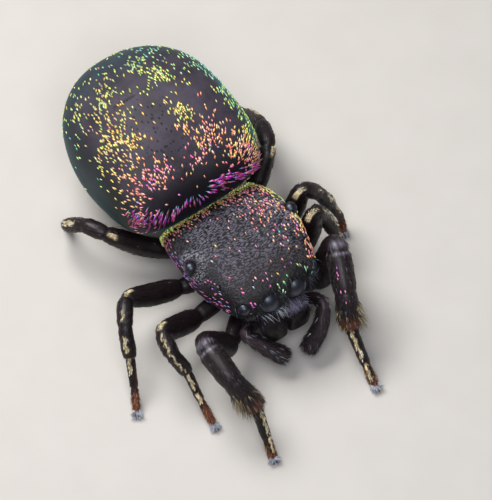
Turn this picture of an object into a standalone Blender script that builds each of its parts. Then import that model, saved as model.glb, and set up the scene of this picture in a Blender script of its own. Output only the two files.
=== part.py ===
"""A life-size model of a female sassacus cyaneus, a small jumping spider, standing still.

Metres, +Z up. The spider looks along -Y and its left side is +X. The floor is z = 0 and the
origin lies on the floor, under the centre of the model's box.

Proportions are given in parts: CARAPACE_PARTS of them make the carapace's length. A place is
written (left, forward, up) in parts, with the middle of the rear eye row's ground point at zero.
"""

import math

import bmesh
import bpy
import numpy as np
from mathutils import Matrix, Vector

# Driving sizes
CARAPACE_LENGTH = 0.00207
CARAPACE_PARTS = 192.0
PART = CARAPACE_LENGTH / CARAPACE_PARTS
GAP = 1.7

# Carapace: at each place forward, its half width, top, height of its widest line, and underside
CARAPACE_STATIONS = {
    "forward": (-86, -82, -74, -62, -45, -14, 15, 45, 72, 88, 96, 101),
    "half_width": (45, 60, 68.5, 72.5, 76.5, 79.5, 80.5, 74, 65.5, 58, 46, 28),
    "top": (71, 82, 98, 113, 125, 139, 144, 145, 143, 139, 135, 128),
    "widest": (67, 72, 82, 93, 101, 110, 113, 114, 113, 112, 112, 112),
    "under": (64, 62.5, 62, 62, 62, 62, 62, 64, 75, 88, 96, 102),
}
CARAPACE_RINGS = 22
CARAPACE_SIDES = 32
CARAPACE_SQUARENESS = 3.2
CARAPACE_NOSE = (0, 103, 114)
CARAPACE_TAIL = (0, -88, 67)

# Eyes: place of the right one's mirror image on the left, and radius
EYES = {
    "front_middle": ((19.6, 93, 119), 16.0),
    "front_side": ((52, 88.5, 121.5), 8.6),
    "rear_middle": ((65.5, 52, 136), 3.4),
    "rear_side": ((76, 5, 129.5), 8.6),
}

# Underside: sternum, lip and mouth plates under the carapace
UNDERSIDE_STATIONS = {
    "forward": (-49, -40, -20, 5, 30, 46, 58, 70, 77),
    "half_width": (7, 18, 26, 29, 26, 20, 19, 16, 8),
    "bottom": (44, 39, 36, 35, 36, 38, 39, 41, 47),
}
UNDERSIDE_TOP = 60.3
UNDERSIDE_RINGS = 14
UNDERSIDE_SIDES = 20

# Abdomen: a globe with a broad, blunt front that stands over the carapace. Its outline along the
# body has its own fullness before and behind, and its cross-sections are squarer toward the front
ABDOMEN_CENTRE = (-6, -184, 127)
ABDOMEN_HALF = (107, 125, 110)
ABDOMEN_PITCH = 6.0
ABDOMEN_FRONT_RISE = 0.42
ABDOMEN_FULLNESS = {"front": 4.3, "rear": 2.25}
ABDOMEN_SQUARENESS = (2.1, 2.75)
ABDOMEN_RINGS = 28
ABDOMEN_SIDES = 40

PEDICEL_ENDS = ((0, -90.2, 67), (0, -96, 67))
PEDICEL_RADIUS = 5.5

SPINNERET_ANGLE = 30.0
SPINNERET_LENGTH = 15.0
SPINNERET_RADIUS = 5.2
SPINNERET_SPREAD = 5.5

# Jaws: centre line down the left one, the squareness of its sections, half widths and depths
JAW_LINE = ((17.5, 84, 83), (18.3, 95, 70), (17.9, 102, 56), (15.8, 104, 39))
JAW_SQUARENESS = 2.9
JAW_HALF = ((15.0, 9.5), (17.0, 12.5), (16.7, 13.0), (14.4, 10.5))

# Palps: centre line of each, from its root beside the mouth to its tip, and the radii along it
PALP_LINES = {
    "left": ((33, 79, 47), (46, 98, 66), (50, 117, 72), (32, 132, 50), (7, 138, 27)),
    "right": ((-33, 79, 47), (-46, 84, 62), (-55, 93, 64), (-38, 114, 46), (-20, 133, 30)),
}
PALP_BASE_RADII = (6.5, 7.8, 8.6)
PALP_TIP_SHAPE = ((0, 0.5, 0.85, 0.95, 1), (8.8, 10.2, 10.8, 9.8, 7.6))
PALP_SPLIT = 2

# Legs: places of the coxa's root, hip, knee, patella's end, tibia's end, metatarsus' end, claw
LEG_LINES = {
    ("left", 1): ((30, 47, 48), (68, 72, 46), (96, 76, 130), (72, 132, 101), (60, 160, 62),
                  (56, 198, 28), (54, 222, 4)),
    ("right", 1): ((-30, 47, 48), (-74, 86, 48), (-121, 99, 122), (-120, 162, 112), (-103, 188, 64),
                   (-106, 213, 27), (-110, 234, 4)),
    ("left", 2): ((33, 20, 48), (82, 20, 46), (100, 23, 125), (117, 17, 90), (128, 24, 50),
                  (128, 42, 22), (119, 65, 4)),
    ("right", 2): ((-33, 20, 48), (-86, 27, 47), (-149, 45, 98), (-153, 74, 88), (-142, 90, 55),
                   (-143, 119, 26), (-144, 151, 4)),
    ("left", 3): ((33, -10, 48), (81, -20, 46), (104, -10, 132), (127, -10, 101), (143, -5, 62),
                  (154, 1, 27), (150, 11, 4)),
    ("right", 3): ((-33, -10, 48), (-80, -22, 48), (-158, -24, 94), (-179, 6, 90), (-190, 32, 57),
                   (-201, 55, 25), (-214, 79, 4)),
    ("left", 4): ((27, -36, 48), (58, -74, 41), (116, -103, 101), (130, -141, 91), (135, -186, 52),
                  (133, -228, 23), (129, -258, 4)),
    ("right", 4): ((-27, -36, 48), (-54, -76, 41), (-124, -120, 90), (-139, -146, 92),
                   (-151, -176, 62), (-141, -192, 33), (-133, -206, 4)),
}
COXA_RADIUS = 11.8
# Thickest radius of femur, patella, tibia, metatarsus and tarsus on each pair of legs
LEG_RADII = {
    1: (16.5, 16.0, 15.0, 7.8, 5.8),
    2: (13.6, 10.6, 9.6, 6.2, 5.0),
    3: (13.4, 10.4, 9.4, 6.2, 5.0),
    4: (13.6, 10.8, 9.8, 6.4, 5.0),
}
# How far the femur's middle bows outward and upward from a straight line
FEMUR_BOW = {("left", 2): (3, -1), ("left", 3): (2, 0), ("left", 4): (0, -4), ("right", 4): (0, -8)}
DEFAULT_BOW = (4, -1)
LEG_SIDES = 12
LEG_HEIGHT_SHARE = 1.12
BEND_SHARE = 0.34

# Brush under the front tibiae: two rows of flat locks, as shares of the tibia's length
BRUSH_ROWS = (-55, -125)
BRUSH_ROOTS = (0.30, 0.52, 0.72, 0.88)
BRUSH_LENGTH = 12.0
BRUSH_RADIUS = 2.0
BRUSH_LEAN = 0.9

# Claw tuft: flat locks spread round the end of each tarsus
TUFT_ANGLES = (-34, -12, 12, 34)
TUFT_LENGTH = 5.0
TUFT_RADIUS = 3.2

COLOURS = {
    "carapace_black": ((0.020, 0.019, 0.018), 0.55, 0.0),
    "abdomen_satin": ((0.032, 0.028, 0.034), 0.32, 0.35),
    "underside_dark": ((0.030, 0.024, 0.022), 0.50, 0.0),
    "leg_dark": ((0.026, 0.020, 0.023), 0.42, 0.0),
    "foot_amber": ((0.210, 0.080, 0.030), 0.45, 0.0),
    "palp_dark": ((0.032, 0.028, 0.028), 0.50, 0.0),
    "eye_lens": ((0.012, 0.014, 0.020), 0.06, 0.0),
}


def clear_scene():
    for obj in list(bpy.data.objects):
        bpy.data.objects.remove(obj, do_unlink=True)


def make_collection(name):
    collection = bpy.data.collections.new(name)
    bpy.context.scene.collection.children.link(collection)
    return collection


def make_material(name):
    colour, roughness, metallic = COLOURS[name]
    material = bpy.data.materials.new(name)
    material.use_nodes = True
    shader = material.node_tree.nodes["Principled BSDF"]
    shader.inputs["Base Color"].default_value = (*colour, 1.0)
    shader.inputs["Roughness"].default_value = roughness
    shader.inputs["Metallic"].default_value = metallic
    return material


def world(place):
    """Turns (left, forward, up) in parts into metres in the model's axes."""
    place = np.asarray(place, float) * PART
    return place * (1.0, -1.0, 1.0)


def add_object(name, mesh, material, collection, parent):
    mesh.materials.append(material)
    mesh.shade_smooth()
    obj = bpy.data.objects.new(name, mesh)
    collection.objects.link(obj)
    obj.parent = parent
    return obj


def loft(name, rings, start_pole=None, end_pole=None):
    """Skins a stack of closed rings; an end is a flat cap, or a fan to its pole."""
    bm = bmesh.new()
    rows = [[bm.verts.new(world(place)) for place in ring] for ring in rings]
    sides = len(rows[0])
    for low, high in zip(rows, rows[1:]):
        for k in range(sides):
            j = (k + 1) % sides
            bm.faces.new((low[k], low[j], high[j], high[k]))
    for row, pole in ((rows[0], start_pole), (rows[-1], end_pole)):
        if pole is None:
            bm.faces.new(row)
            continue
        tip = bm.verts.new(world(pole))
        for k in range(sides):
            bm.faces.new((row[k], row[(k + 1) % sides], tip))
    bmesh.ops.recalc_face_normals(bm, faces=bm.faces)
    mesh = bpy.data.meshes.new(name)
    bm.to_mesh(mesh)
    bm.free()
    return mesh


def smooth_curve(knots, values, at):
    """Cubic curve through the values, with the mean slope of its neighbours at each knot."""
    knots = np.asarray(knots, float)
    values = np.asarray(values, float)
    slopes = np.gradient(values, knots)
    k = np.clip(np.searchsorted(knots, at) - 1, 0, len(knots) - 2)
    width = knots[k + 1] - knots[k]
    t = (at - knots[k]) / width
    rise = values[k] * (1 + 2 * t) * (1 - t) ** 2 + values[k + 1] * t * t * (3 - 2 * t)
    return rise + width * (slopes[k] * t * (1 - t) ** 2 - slopes[k + 1] * t * t * (1 - t))


def squared(value, squareness):
    return np.sign(value) * np.abs(value) ** (2.0 / squareness)


def spread(low, high, count):
    """Places from low to high, closer together toward both ends."""
    return low + (high - low) * (1 - np.cos(np.linspace(0, math.pi, count))) / 2


def carapace_mesh():
    stations = CARAPACE_STATIONS
    forward = stations["forward"]
    angles = np.linspace(0, 2 * math.pi, CARAPACE_SIDES, endpoint=False)
    across = squared(np.cos(angles), CARAPACE_SQUARENESS)
    rise = squared(np.sin(angles), CARAPACE_SQUARENESS)
    rings = []
    for place in spread(forward[0], forward[-1], CARAPACE_RINGS):
        width, top, widest, under = (
            smooth_curve(forward, stations[key], place)
            for key in ("half_width", "top", "widest", "under")
        )
        up = widest + np.where(rise > 0, rise * (top - widest), rise * (widest - under))
        rings.append(np.column_stack([width * across, np.full_like(up, place), up]))
    return loft("carapace", rings, CARAPACE_TAIL, CARAPACE_NOSE)


def underside_mesh():
    stations = UNDERSIDE_STATIONS
    forward = stations["forward"]
    angles = np.linspace(0, 2 * math.pi, UNDERSIDE_SIDES, endpoint=False)
    across = squared(np.cos(angles), 2.8)
    rise = squared(np.sin(angles), 2.8)
    rings = []
    for place in spread(forward[0], forward[-1], UNDERSIDE_RINGS):
        width = smooth_curve(forward, stations["half_width"], place)
        bottom = smooth_curve(forward, stations["bottom"], place)
        middle = (UNDERSIDE_TOP + bottom) / 2
        up = middle + rise * (UNDERSIDE_TOP - bottom) / 2
        rings.append(np.column_stack([width * across, np.full_like(up, place), up]))
    return loft("underside", rings)


def abdomen_point(along, around):
    """A point of the abdomen from its angle off the front end and its angle round the long axis."""
    reach = np.cos(along)
    fullness = ABDOMEN_FULLNESS["front" if reach > 0 else "rear"]
    breadth = max(0.0, 1 - abs(reach) ** fullness) ** (1 / fullness)
    squareness = np.interp(reach, (-1, 1), ABDOMEN_SQUARENESS)
    left = ABDOMEN_HALF[0] * breadth * squared(np.cos(around), squareness)
    front = ABDOMEN_HALF[1] * reach * np.ones_like(around)
    up = ABDOMEN_HALF[2] * math.sin(along) * squared(np.sin(around), squareness)
    lifted = 1 - ABDOMEN_FRONT_RISE * np.clip(front / ABDOMEN_HALF[1], 0, 1)
    up = np.where(up < 0, up * lifted, up)
    pitch = math.radians(ABDOMEN_PITCH)
    forward = front * math.cos(pitch) - up * math.sin(pitch)
    height = front * math.sin(pitch) + up * math.cos(pitch)
    return np.column_stack([left, forward, height]) + ABDOMEN_CENTRE


def abdomen_mesh():
    around = np.linspace(0, 2 * math.pi, ABDOMEN_SIDES, endpoint=False)
    along = np.linspace(0, math.pi, ABDOMEN_RINGS + 2)
    rings = [abdomen_point(angle, around) for angle in along[1:-1]]
    front, back = (abdomen_point(angle, np.zeros(1))[0] for angle in along[[0, -1]])
    return loft("abdomen", rings, front, back)


def frames_along(path):
    """Directions along a path, with two square directions carried along it without twist."""
    path = np.asarray(path, float)
    tangents = np.gradient(path, axis=0)
    tangents /= np.linalg.norm(tangents, axis=1)[:, None]
    side = Vector(tangents[0]).cross(Vector((0, 0, 1))).normalized()
    sides = [np.array(side)]
    for before, after in zip(tangents, tangents[1:]):
        turn = Vector(before).rotation_difference(Vector(after))
        side = (turn @ side).normalized()
        sides.append(np.array(side))
    sides = np.array(sides)
    return tangents, sides, np.cross(sides, tangents)


def tube_rings(path, half_widths, half_heights, count, squareness=2.0):
    """Rings square to a path, elliptic or with squarer corners."""
    _, sides, ups = frames_along(path)
    angles = np.linspace(0, 2 * math.pi, count, endpoint=False)
    across = squared(np.cos(angles), squareness)
    rise = squared(np.sin(angles), squareness)
    rings = []
    for place, side, up, wide, high in zip(path, sides, ups, half_widths, half_heights):
        rings.append(place + wide * np.outer(across, side) + high * np.outer(rise, up))
    return rings


def rounded_line(corners):
    """Rounds each inner corner. Returns the points, and for each corner the index at its middle."""
    corners = np.asarray(corners, float)
    points = [corners[0]]
    marks = [0]
    for before, corner, after in zip(corners, corners[1:], corners[2:]):
        reach = BEND_SHARE * min(np.linalg.norm(before - corner), np.linalg.norm(after - corner))
        start = corner + reach * (before - corner) / np.linalg.norm(before - corner)
        end = corner + reach * (after - corner) / np.linalg.norm(after - corner)
        for t in (0.0, 0.25, 0.5, 0.75, 1.0):
            points.append(start * (1 - t) ** 2 + corner * 2 * t * (1 - t) + end * t * t)
            if t == 0.5:
                marks.append(len(points) - 1)
    points.append(corners[-1])
    marks.append(len(points) - 1)
    return np.array(points), marks


def resampled(points, count):
    """Even steps along a path, and the share of its length at each."""
    steps = np.concatenate([[0], np.cumsum(np.linalg.norm(np.diff(points, axis=0), axis=1))])
    share = np.linspace(0, 1, count)
    path = np.column_stack([np.interp(share * steps[-1], steps, points[:, k]) for k in range(3)])
    return path, share


def shorten(points, start, end):
    """Draws the ends of a path in by the given lengths."""
    points = points.copy()
    first = points[1] - points[0]
    last = points[-2] - points[-1]
    points[0] += first / np.linalg.norm(first) * start
    points[-1] += last / np.linalg.norm(last) * end
    return points


def on_floor(ring):
    ring = np.array(ring)
    ring[..., 2] = np.maximum(ring[..., 2], 0.0)
    return ring


# Share of a segment's length, and the share of its thickest radius there
FEMUR_SHAPE = ((0, 0.25, 0.36, 0.48, 0.68, 0.86, 1), (0.84, 0.84, 0.80, 0.97, 1.0, 0.86, 0.76))
PATELLA_SHAPE = ((0, 0.35, 0.8, 1), (0.86, 1.0, 0.96, 0.84))
TIBIA_SHAPE = ((0, 0.3, 0.75, 1), (0.84, 0.96, 1.0, 0.80))


def leg_meshes(name, side, pair):
    """Models one leg whole along its line, parted at the knee, patella's end and tibia's end."""
    line = np.array(LEG_LINES[side, pair], float)
    femur, patella, tibia, metatarsus, tarsus = LEG_RADII[pair]
    hip, knee = line[1], line[2]
    aside, lift = FEMUR_BOW.get((side, pair), DEFAULT_BOW)
    bow = (hip + knee) / 2 + (math.copysign(aside, hip[0]), 0.0, lift)
    corners = np.vstack([line[:2], bow, line[2:]])
    points, marks = rounded_line(corners)
    cuts = [0, marks[3], marks[4], marks[5], marks[7]]
    meshes = {}

    def span(first, last, start_gap, end_gap, count):
        return resampled(shorten(points[first : last + 1], start_gap, end_gap), count)

    path, share = span(cuts[0], cuts[1], 0.0, GAP / 2, 15)
    coxa = COXA_RADIUS / femur
    shares = (coxa, coxa, 0.86) + FEMUR_SHAPE[1][3:]
    radii = femur * np.interp(share, FEMUR_SHAPE[0], shares)
    heights = np.where(share < 0.36, radii, radii * LEG_HEIGHT_SHARE)
    meshes["femur"] = loft(name + "femur", tube_rings(path, radii, heights, LEG_SIDES))

    for part, radius, shape, k, count in (
        ("patella", patella, PATELLA_SHAPE, 1, 8),
        ("tibia", tibia, TIBIA_SHAPE, 2, 8),
    ):
        path, share = span(cuts[k], cuts[k + 1], GAP / 2, GAP / 2, count)
        radii = radius * np.interp(share, *shape)
        meshes[part] = loft(name + part, tube_rings(path, radii, radii, LEG_SIDES))
        if pair == 1 and part == "tibia":
            meshes[part] = with_brush(name + part, meshes[part], path, radii)

    path, share = span(cuts[3], cuts[4], GAP / 2, 0.0, 14)
    radii = np.interp(
        share,
        (0, 0.12, 0.5, 0.58, 0.66, 0.86, 1),
        (metatarsus, metatarsus, metatarsus * 0.86, tarsus * 0.92, tarsus, tarsus * 0.95, tarsus * 1.15),
    )
    rings = on_floor(tube_rings(path, radii, radii * 0.95, LEG_SIDES))
    forward = path[-1] - path[-2]
    toe = path[-1] + forward / np.linalg.norm(forward) * tarsus * 0.7
    toe[2] = max(toe[2], tarsus * 0.3)
    foot = loft(name + "foot", rings, None, toe)
    meshes["foot"] = with_tuft(name + "foot", foot, path, tarsus)
    return meshes


def lock_mesh(name, root, outward, length, radius):
    """A tapered lock from a sunk root, four sided, ending in a point."""
    outward = outward / np.linalg.norm(outward)
    path = root + np.outer((0.0, 0.45, 0.8), outward) * length
    radii = radius * np.array((1.0, 0.8, 0.45))
    return loft(name, tube_rings(path, radii, radii * 0.7, 4), None, root + outward * length)


def with_brush(name, tibia, path, radii):
    """Roots the brush in the tibia's underside, each lock leaning toward the foot."""
    tangents, sides, ups = frames_along(path)
    stations = np.linspace(0, 1, len(path))
    meshes = [tibia]
    for row in BRUSH_ROWS:
        for root in BRUSH_ROOTS:
            k = int(np.argmin(np.abs(stations - root)))
            angle = math.radians(row)
            square = math.cos(angle) * sides[k] + math.sin(angle) * ups[k]
            start = path[k] + square * (radii[k] - 2.5)
            long = BRUSH_LENGTH * (0.8 + 0.4 * root)
            lean = square + BRUSH_LEAN * tangents[k]
            meshes.append(lock_mesh("brush", start, lean, long, BRUSH_RADIUS))
    return fuse(name, meshes)


def with_tuft(name, foot, path, radius):
    """Roots the claw tuft in the end of the tarsus, spread level with the floor."""
    ahead = path[-1] - path[-2]
    heading = math.atan2(ahead[1], ahead[0])
    root = path[-1].copy()
    root[2] = max(root[2], TUFT_RADIUS + 1.0)
    meshes = [foot]
    for angle in TUFT_ANGLES:
        turned = heading + math.radians(angle)
        outward = np.array([math.cos(turned), math.sin(turned), 0.12])
        meshes.append(lock_mesh("tuft", root, outward, radius + TUFT_LENGTH, TUFT_RADIUS))
    return fuse(name, meshes)


def palp_meshes(name, side):
    """One palp along its line, parted at the end of its patella."""
    points, marks = rounded_line(PALP_LINES[side])
    meshes = {}
    split = marks[PALP_SPLIT]
    for part, first, last in (("base", 0, split), ("tip", split, len(points) - 1)):
        gaps = (0.0, GAP / 2) if part == "base" else (GAP / 2, 0.0)
        path, share = resampled(shorten(points[first : last + 1], *gaps), 12)
        if part == "base":
            radii = np.interp(share, (0, 0.6, 1), PALP_BASE_RADII)
            meshes[part] = loft(name + part, tube_rings(path, radii, radii, LEG_SIDES))
        else:
            radii = np.interp(share, *PALP_TIP_SHAPE)
            rings = tube_rings(path, radii, radii, LEG_SIDES)
            step = path[-1] - path[-2]
            tip = path[-1] + step / np.linalg.norm(step) * radii[-1] * 0.4
            meshes[part] = loft(name + part, rings, None, tip)
    return meshes


def jaw_mesh(name, mirror):
    share = np.linspace(0, 1, len(JAW_LINE))
    at = np.linspace(0, 1, 9)
    line = np.column_stack([smooth_curve(share, np.array(JAW_LINE)[:, k], at) for k in range(3)])
    line[:, 0] *= mirror
    half = [smooth_curve(share, np.array(JAW_HALF)[:, k], at) for k in range(2)]
    return loft(name, tube_rings(line, half[0], half[1], 16, JAW_SQUARENESS))


def spinnerets_mesh():
    """Four short cones on one round root, fused into one body behind the abdomen's underside."""
    angle = math.radians(180 - SPINNERET_ANGLE)
    root = abdomen_point(np.array(angle), np.array([-math.pi / 2]))[0]
    away = root - np.array(ABDOMEN_CENTRE)
    away /= np.linalg.norm(away)
    start = root + away * GAP * 1.6
    across = np.array([1.0, 0.0, 0.0])
    upward = np.cross(across, away)
    plate = np.array([start, start + away * 3.5])
    shapes = [(plate, (11.0, 9.0))]
    for left, up, long in ((-1, 0.7, 0.8), (1, 0.7, 0.8), (-0.9, -0.8, 1.0), (0.9, -0.8, 1.0)):
        foot = start + away * 1.5 + SPINNERET_SPREAD * (left * across + up * upward)
        tip = foot + away * SPINNERET_LENGTH * long + across * left * 1.5
        shapes.append((np.array([foot, tip]), (SPINNERET_RADIUS, SPINNERET_RADIUS * 0.5)))
    return fuse("spinnerets", [
        loft("spinneret", tube_rings(path, radii, radii, 10)) for path, radii in shapes
    ])


def fuse(name, meshes):
    """Joins closed meshes into one by a Boolean union, and keeps the result's largest surface."""
    bodies = [bpy.data.objects.new(mesh.name, mesh) for mesh in meshes]
    first = bodies[0]
    bpy.context.scene.collection.objects.link(first)
    others = bpy.data.collections.new(name + "_pieces")
    bpy.context.scene.collection.children.link(others)
    for body in bodies[1:]:
        others.objects.link(body)
    union = first.modifiers.new("union", "BOOLEAN")
    union.operation = "UNION"
    union.operand_type = "COLLECTION"
    union.collection = others
    union.solver = "EXACT"
    bpy.context.view_layer.update()
    evaluated = first.evaluated_get(bpy.context.evaluated_depsgraph_get())
    mesh = bpy.data.meshes.new_from_object(evaluated)
    for body in bodies:
        bpy.data.objects.remove(body, do_unlink=True)
    for old in meshes:
        bpy.data.meshes.remove(old)
    bpy.data.collections.remove(others)
    mesh.name = name
    keep_largest(mesh)
    return mesh


def keep_largest(mesh):
    bm = bmesh.new()
    bm.from_mesh(mesh)
    left = set(bm.verts)
    islands = []
    while left:
        island = []
        front = [left.pop()]
        while front:
            vert = front.pop()
            island.append(vert)
            for edge in vert.link_edges:
                other = edge.other_vert(vert)
                if other in left:
                    left.remove(other)
                    front.append(other)
        islands.append(island)
    islands.sort(key=len)
    for island in islands[:-1]:
        bmesh.ops.delete(bm, geom=island, context="VERTS")
    bm.to_mesh(mesh)
    bm.free()


def ball_mesh(name, place, radius, segments, rings):
    bm = bmesh.new()
    matrix = Matrix.Translation(Vector(world(place)))
    bmesh.ops.create_uvsphere(
        bm, u_segments=segments, v_segments=rings, radius=radius * PART, matrix=matrix
    )
    mesh = bpy.data.meshes.new(name)
    bm.to_mesh(mesh)
    bm.free()
    return mesh


def build():
    clear_scene()
    parts = make_collection("sassacus_cyaneus")
    cutters = make_collection("eye_sockets")
    ground = bpy.data.objects.new("ground_centre", None)
    parts.objects.link(ground)
    looks = {name: make_material(name) for name in COLOURS}

    def place(mesh, look):
        return add_object(mesh.name, mesh, looks[look], parts, ground)

    carapace = place(carapace_mesh(), "carapace_black")
    place(underside_mesh(), "underside_dark")
    place(abdomen_mesh(), "abdomen_satin")
    stalk = tube_rings(np.array(PEDICEL_ENDS), (PEDICEL_RADIUS,) * 2, (PEDICEL_RADIUS,) * 2, 12)
    place(loft("pedicel", stalk), "underside_dark")
    place(spinnerets_mesh(), "underside_dark")

    for side, mirror in (("left", 1), ("right", -1)):
        place(jaw_mesh("chelicera_" + side, mirror), "palp_dark")
        for mesh in palp_meshes("palp_%s_" % side, side).values():
            place(mesh, "palp_dark")
        for kind, (centre, radius) in EYES.items():
            centre = (centre[0] * mirror, centre[1], centre[2])
            segments = 16 if radius > 5 else 10
            place(ball_mesh("eye_%s_%s" % (kind, side), centre, radius, segments, segments // 2),
                  "eye_lens")
            mesh = ball_mesh("socket_%s_%s" % (kind, side), centre, radius + GAP, segments,
                             segments // 2)
            socket = bpy.data.objects.new(mesh.name, mesh)
            socket.hide_render = True
            socket.display_type = "WIRE"
            socket.parent = ground
            cutters.objects.link(socket)
        for pair in (1, 2, 3, 4):
            name = "leg_%s_%d_" % (side, pair)
            for segment, mesh in leg_meshes(name, side, pair).items():
                place(mesh, "foot_amber" if segment == "foot" else "leg_dark")

    cut = carapace.modifiers.new("eye_sockets", "BOOLEAN")
    cut.operation = "DIFFERENCE"
    cut.operand_type = "COLLECTION"
    cut.collection = cutters
    cut.solver = "EXACT"

    bpy.context.view_layer.update()
    corners = np.array([
        obj.matrix_world @ Vector(corner)
        for obj in parts.objects if obj.type == "MESH"
        for corner in obj.bound_box
    ])
    middle = (corners.min(axis=0) + corners.max(axis=0)) / 2
    ground.location = (-middle[0], -middle[1], 0.0)
    bpy.context.view_layer.update()


build()
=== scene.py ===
# %% [markdown]
# # A jumping spider, sassacus cyaneus
# This is a round, dark, beetle-like spider about four and a half millimetres long. Its body is
# hard and black, and flat scales on it shine green, gold, pink and violet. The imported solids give
# the place and size of each part of the body. Here each gets the surface that a close look shows:
# skins with finer forms, glass-like eyes, scales, bristles and claws, and their colours.

# %% Load the solids
import math

import bpy
import numpy as np
from mathutils import Matrix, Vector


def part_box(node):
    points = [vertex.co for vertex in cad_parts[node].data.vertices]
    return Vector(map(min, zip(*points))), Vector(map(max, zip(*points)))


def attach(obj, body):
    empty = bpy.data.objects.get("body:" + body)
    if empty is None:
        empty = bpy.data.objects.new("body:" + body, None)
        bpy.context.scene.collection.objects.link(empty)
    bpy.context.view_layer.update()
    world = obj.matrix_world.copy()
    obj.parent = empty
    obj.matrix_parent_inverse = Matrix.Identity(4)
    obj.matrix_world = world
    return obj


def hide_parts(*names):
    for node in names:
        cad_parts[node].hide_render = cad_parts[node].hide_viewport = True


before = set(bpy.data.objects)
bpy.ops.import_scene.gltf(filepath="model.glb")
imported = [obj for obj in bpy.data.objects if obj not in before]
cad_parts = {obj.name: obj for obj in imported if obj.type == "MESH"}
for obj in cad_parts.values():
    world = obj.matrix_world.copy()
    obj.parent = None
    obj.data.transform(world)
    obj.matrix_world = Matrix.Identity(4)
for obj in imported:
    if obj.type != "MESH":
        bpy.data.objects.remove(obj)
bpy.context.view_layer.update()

# %% [markdown]
# ## Body measure
# A tiny animal is easiest to describe in small units of its own. One part is 1/192 of the length
# of the carapace, the plate over the head and chest, so about 0.011 mm. A place is written as
# (left, forward, up) in parts. The carapace's own box in the solids tells how long a part is and
# where the spider stands, so the looks follow the solids if those are scaled.

# %% Parts and places
CARAPACE_NOSE = 103.0
CARAPACE_TAIL = -88.0
low, high = (np.array(corner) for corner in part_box("carapace"))
PART = (high[1] - low[1]) / (CARAPACE_NOSE - CARAPACE_TAIL)
GROUND = np.array([(low[0] + high[0]) / 2, low[1] + CARAPACE_NOSE * PART, 0.0])
FLIP = np.array([1.0, -1.0, 1.0])


def metres(places):
    """Metres in the model's axes from (left, forward, up) in parts."""
    return GROUND + PART * np.asarray(places, float) * FLIP


def parts(point):
    """The reverse of metres."""
    return (np.asarray(point, float) - GROUND) / PART * FLIP


def unit(vectors):
    """Each vector divided by its length."""
    return vectors / np.maximum(np.linalg.norm(vectors, axis=-1, keepdims=True), 1e-12)


print("one part is %.5f mm" % (PART * 1000))

# %% [markdown]
# ## Camera
# The photo is a close-up from above, in front and to the spider's right. The camera's direction
# was found by fitting the eyes, the plates and the leg joints to the photo. A long lens far away
# keeps the shape undistorted, as a macro lens does on so small an animal.

# %% Camera
CAMERA_TURN = 30.665
CAMERA_HEIGHT = 58.856
CAMERA_ROLL = 4.049
PIXELS_PER_PART = 0.79007
PHOTO_HEIGHT_PX = 500
SENSOR_MM = 36.0
CAMERA_DISTANCE = 7000.0
AIM = np.array([0.0, 0.0, 100.0])
AIM_OFFSET = (-8.465, 3.226)

turn, height, roll = np.radians((CAMERA_TURN, CAMERA_HEIGHT, CAMERA_ROLL))
level = np.array([math.cos(turn), math.sin(turn), 0.0])
upward = np.array([math.sin(turn) * math.sin(height), -math.cos(turn) * math.sin(height),
                   math.cos(height)])
toward = np.array([-math.sin(turn) * math.cos(height), math.cos(turn) * math.cos(height),
                   math.sin(height)])
right = math.cos(roll) * level - math.sin(roll) * upward
above = math.sin(roll) * level + math.cos(roll) * upward
eye_place = AIM + CAMERA_DISTANCE * toward - AIM_OFFSET[0] * right - AIM_OFFSET[1] * above


def set_pose(thing, axes, place):
    """Puts a thing at a place in metres, with its own x, y and z along the three axes."""
    rows = np.stack([*axes, place], axis=1).tolist()
    thing.matrix_world = Matrix([*rows, (0.0, 0.0, 0.0, 1.0)])


camera = bpy.data.objects.new("camera", bpy.data.cameras.new("camera"))
bpy.context.scene.collection.objects.link(camera)
set_pose(camera, [axis * FLIP for axis in (right, above, toward)], metres(eye_place))
camera.data.sensor_width = SENSOR_MM
camera.data.lens = PIXELS_PER_PART * CAMERA_DISTANCE * SENSOR_MM / PHOTO_HEIGHT_PX
camera.data.clip_start = 0.001
camera.data.clip_end = 1.0
bpy.context.scene.camera = camera
print("lens %.0f mm at %.0f mm" % (camera.data.lens, CAMERA_DISTANCE * PART * 1000))

# %% [markdown]
# ## Colours and materials
# Colours are easiest to read as the hex values of a paint chart, but Blender's shaders count in
# linear light, so one function turns them. A second one adds a node with its settings and links,
# which keeps each material a short list. Patterns are scaled in millimetres of the real animal.

# %% Colour and node helpers
def linear(hexes):
    """sRGB hex values to linear light: the straight part below 0.04045, else the 2.4 power."""
    single = isinstance(hexes, str)
    rows = np.array([[int(h[k:k + 2], 16) for k in (1, 3, 5)]
                     for h in ([hexes] if single else hexes)])
    value = rows / 255.0
    value = np.where(value <= 0.04045, value / 12.92, ((value + 0.055) / 1.055) ** 2.4)
    return value[0] if single else value


def add_node(tree, kind, settings=None, **sockets):
    """Adds a node. Sockets are named with underscores, or in3 for the one numbered 3. A value is
    set on the node's own socket, and another node's socket is linked."""
    node = tree.nodes.new(kind)
    for name, value in (settings or {}).items():
        setattr(node, name, value)
    for name, value in sockets.items():
        numbered = name.startswith("in") and name[2:].isdigit()
        key = int(name[2:]) if numbered else name.replace("_", " ")
        if isinstance(value, bpy.types.NodeSocket):
            tree.links.new(value, node.inputs[key])
        else:
            node.inputs[key].default_value = value
    return node


def new_material(name):
    """An empty node material and its tree."""
    material = bpy.data.materials.new(name)
    material.use_nodes = True
    material.node_tree.nodes.clear()
    return material, material.node_tree


def in_millimetres(tree, stretch=(1.0, 1.0, 1.0)):
    """Object coordinates counted in millimetres, each axis divided by its stretch. The scale of a
    pattern that reads them is then how often it repeats in a millimetre."""
    place = add_node(tree, "ShaderNodeTexCoord").outputs["Object"]
    scale = [1000.0 / s for s in stretch]
    return add_node(tree, "ShaderNodeMapping", Vector=place, Scale=scale).outputs[0]


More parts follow.
